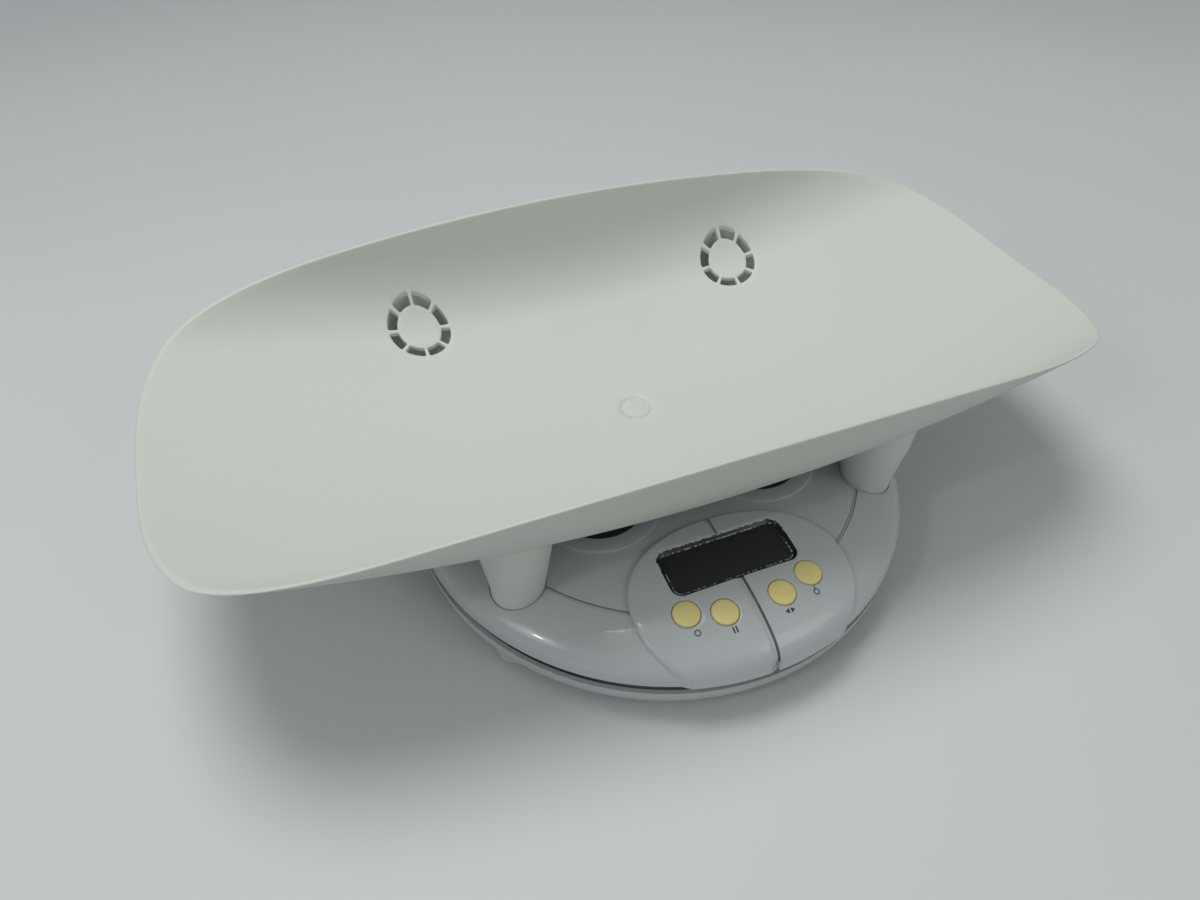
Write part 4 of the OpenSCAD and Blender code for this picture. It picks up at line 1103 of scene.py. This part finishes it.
def bar(u, v, width, height):
    return [(u - width / 2, v - height / 2), (u + width / 2, v - height / 2), (u + width / 2, v + height / 2),
            (u - width / 2, v + height / 2)]


OUTER_MARK, INNER_MARK = (36.8, -17.6), (16.9, -22.9)


def ring_mark(skin, u, v):
    mark(skin, circle(u, v, 1.9, 40), [circle(u, v, 1.25, 40)])


def make_marks():
    """Plain signs in front of the buttons: ring, two bars, two arrowheads, ring with a bar"""
    skin = Skin()
    (outer_u, outer_v), (inner_u, inner_v) = OUTER_MARK, INNER_MARK
    ring_mark(skin, -outer_u, outer_v)
    for side in (-1, 1):
        mark(skin, bar(-inner_u + side * 0.9, inner_v, 0.9, 3.6))
    for side in (-1, 1):
        mark(skin, [(inner_u + side * a, inner_v + b) for a, b in ((0.5, -1.6), (3.1, 0), (0.5, 1.6))][::side])
    ring_mark(skin, outer_u, outer_v)
    mark(skin, bar(outer_u, outer_v + 2.4, 0.65, 2.6))
    return skin.piece("button_marks", finishes["mark_ink"], "platform", (), 0)


def make_lens():
    skin = Skin()
    top, low = -1.8, -3.2
    rim = rounded_box(WINDOW_W + 1.6, WINDOW_D + 1.6, WINDOW_R + 0.8, 12) + (0, WINDOW_V)
    out = loop_normals(rim)

    def row(inset, w):
        p = rim - out * inset
        return from_panel(p[:, 0], p[:, 1], w)

    rows = [row(2.9, top), row(2.2, top - 0.02), row(1.9, top - 0.08), row(0.4, top - 0.1), row(0.1, top - 0.2),
            row(0, top - 0.4), row(0, low + 0.2), row(0.2, low)]
    skin.skirt(rows)
    inner = rim - out * 2.9
    flat, faces, _ = sheet(inner, (), (), 5.0)
    skin.add(from_panel(flat[:, 0], flat[:, 1], top), faces)
    inner = rim - out * 0.2
    flat, faces, _ = sheet(inner, (), (), 5.0)
    skin.add(from_panel(flat[:, 0], flat[:, 1], low), faces, flip=True)
    return skin.piece("window_lens", finishes["tinted_lens"], "platform", ["display_lens"], 25)


def make_window_rim():
    """The black bevel between the fascia's window and its lens"""
    skin = Skin()
    rim = rounded_box(WINDOW_W - 0.04, WINDOW_D - 0.04, WINDOW_R, 14) + (0, WINDOW_V)
    out = loop_normals(rim)
    top = to_panel(fascia_dome.points(fascia_dome.unroll(panel_plan(rim, fascia_dome))))[:, 2] - 0.32

    def row(inset, share, drop=0.0):
        p = rim - out * inset
        return from_panel(p[:, 0], p[:, 1], top + (-1.74 - top) * share - drop)

    skin.skirt([row(0, 0, 0.5), row(0, 0), row(0.2, 0.0), row(0.45, 0.1), row(1.9, 0.93), row(2.1, 1.0), row(2.5, 1.0),
                row(2.6, 1.0, 0.1)], flip=True)
    return skin.piece("window_rim", finishes["window_rim"], "platform", (), 30)


FOOT_X, FOOT_Y = 121.0, 109.5


def make_feet():
    for name, (sx, sy) in sorted(CORNERS.items()):
        skin = Skin()
        skin.turned([(0, 0), (8.6, 0), (9.4, 0.15), (10.1, 0.6), (10.45, 1.4), (10.5, 2.2), (10.5, 4.3),
                     (10.3, 4.5), (0, 4.5)], lambda p, x=sx * FOOT_X, y=sy * FOOT_Y: p + (x, y, 0), 80)
        skin.piece("foot_pad_" + name, finishes["foot_rubber"], "base", ["foot_" + name], 40)


make_tray()
make_centre_plate()
make_platform()
make_pads()
make_fascia()
make_buttons()
make_marks()
make_lens()
make_window_rim()
make_feet()

# ---- floor, light and camera ----

def backdrop():
    """A pale floor that curves up far behind the scale, with painted shade darker towards the back and the left"""
    width = 6.0
    profile = [(-3.0, 0.0), (1.0, 0.0), (2.2, 0.0)]
    profile += [(2.2 + 1.2 * math.sin(t), 1.2 - 1.2 * math.cos(t)) for t in np.radians(range(6, 91, 6))]
    profile += [(3.4, 4.0)]
    verts = [(side * width, y, z) for y, z in profile for side in (-1, 1)]
    faces = [(2 * i, 2 * i + 1, 2 * i + 3, 2 * i + 2) for i in range(len(profile) - 1)]
    mesh = bpy.data.meshes.new("studio_floor")
    mesh.from_pydata(verts, [], faces)
    mesh.shade_smooth()
    thing = bpy.data.objects.new("studio_floor", mesh)
    bpy.context.scene.collection.objects.link(thing)
    f = Finish("studio_floor")
    cloud = f.spread(f.noise(1.4, 2.0), 0.3, 0.7)
    x, y, z = f.axes()
    near = f.blend(cloud, shade(206, 209, 209), shade(212, 215, 215))
    # painted shade: the floor darkens towards the back and the left
    f.set(Base_Color=f.blend(f.spread(y - x * 0.22, 0.1, 1.25) * 0.8, near, shade(172, 178, 180)), Roughness=0.6)
    mesh.materials.append(f.material)


def lamp(name, place, target, size, power, colour):
    data = bpy.data.lights.new(name, "AREA")
    data.shape, data.size, data.energy, data.color = "DISK", size, power, colour
    thing = bpy.data.objects.new(name, data)
    thing.location = place
    thing.rotation_euler = (Vector(target) - Vector(place)).to_track_quat("-Z", "Y").to_euler()
    bpy.context.scene.collection.objects.link(thing)


def studio_light():
    world = bpy.data.worlds.new("studio")
    bpy.context.scene.world = world
    world.use_nodes = True
    sky = world.node_tree.nodes["Background"]
    sky.inputs["Color"].default_value = (0.96, 0.98, 1.0, 1.0)
    sky.inputs["Strength"].default_value = 0.31
    lamp("soft_top", (-0.3, 0.7, 2.3), (0, 0, 0.05), 1.3, 29.0, (1.0, 0.995, 0.985))
    lamp("window_left", (-1.9, -0.5, 1.5), (0, 0, 0.05), 1.0, 3.5, (0.96, 0.98, 1.0))
    lamp("small_lamp", (-1.6, -0.55, 1.5), (0, 0, 0.05), 0.12, 2.2, (1.0, 1.0, 1.0))
    lamp("soft_front", (1.3, -1.6, 1.7), (0, 0, 0.05), 1.2, 4.0, (1.0, 1.0, 1.0))


def photo_camera():
    azimuth, elevation, roll = math.radians(-22.354), math.radians(44.502), math.radians(0.614)
    back = Vector((math.sin(azimuth) * math.cos(elevation), -math.cos(azimuth) * math.cos(elevation),
                   math.sin(elevation)))
    right = Vector((math.cos(azimuth), math.sin(azimuth), 0))
    up = back.cross(right)
    right, up = (math.cos(roll) * right + math.sin(roll) * up, math.cos(roll) * up - math.sin(roll) * right)
    data = bpy.data.cameras.new("photo_camera")
    data.sensor_width, data.lens = 36.0, 866.84 / 1200 * 36.0
    data.clip_start = 0.01
    thing = bpy.data.objects.new("photo_camera", data)
    thing.matrix_world = Matrix((
        (right.x, up.x, back.x, -0.1852),
        (right.y, up.y, back.y, -0.3881),
        (right.z, up.z, back.z, 0.4419),
        (0, 0, 0, 1)))
    bpy.context.scene.collection.objects.link(thing)
    bpy.context.scene.camera = thing


backdrop()
studio_light()
photo_camera()
bpy.context.scene.view_settings.view_transform = "Standard"
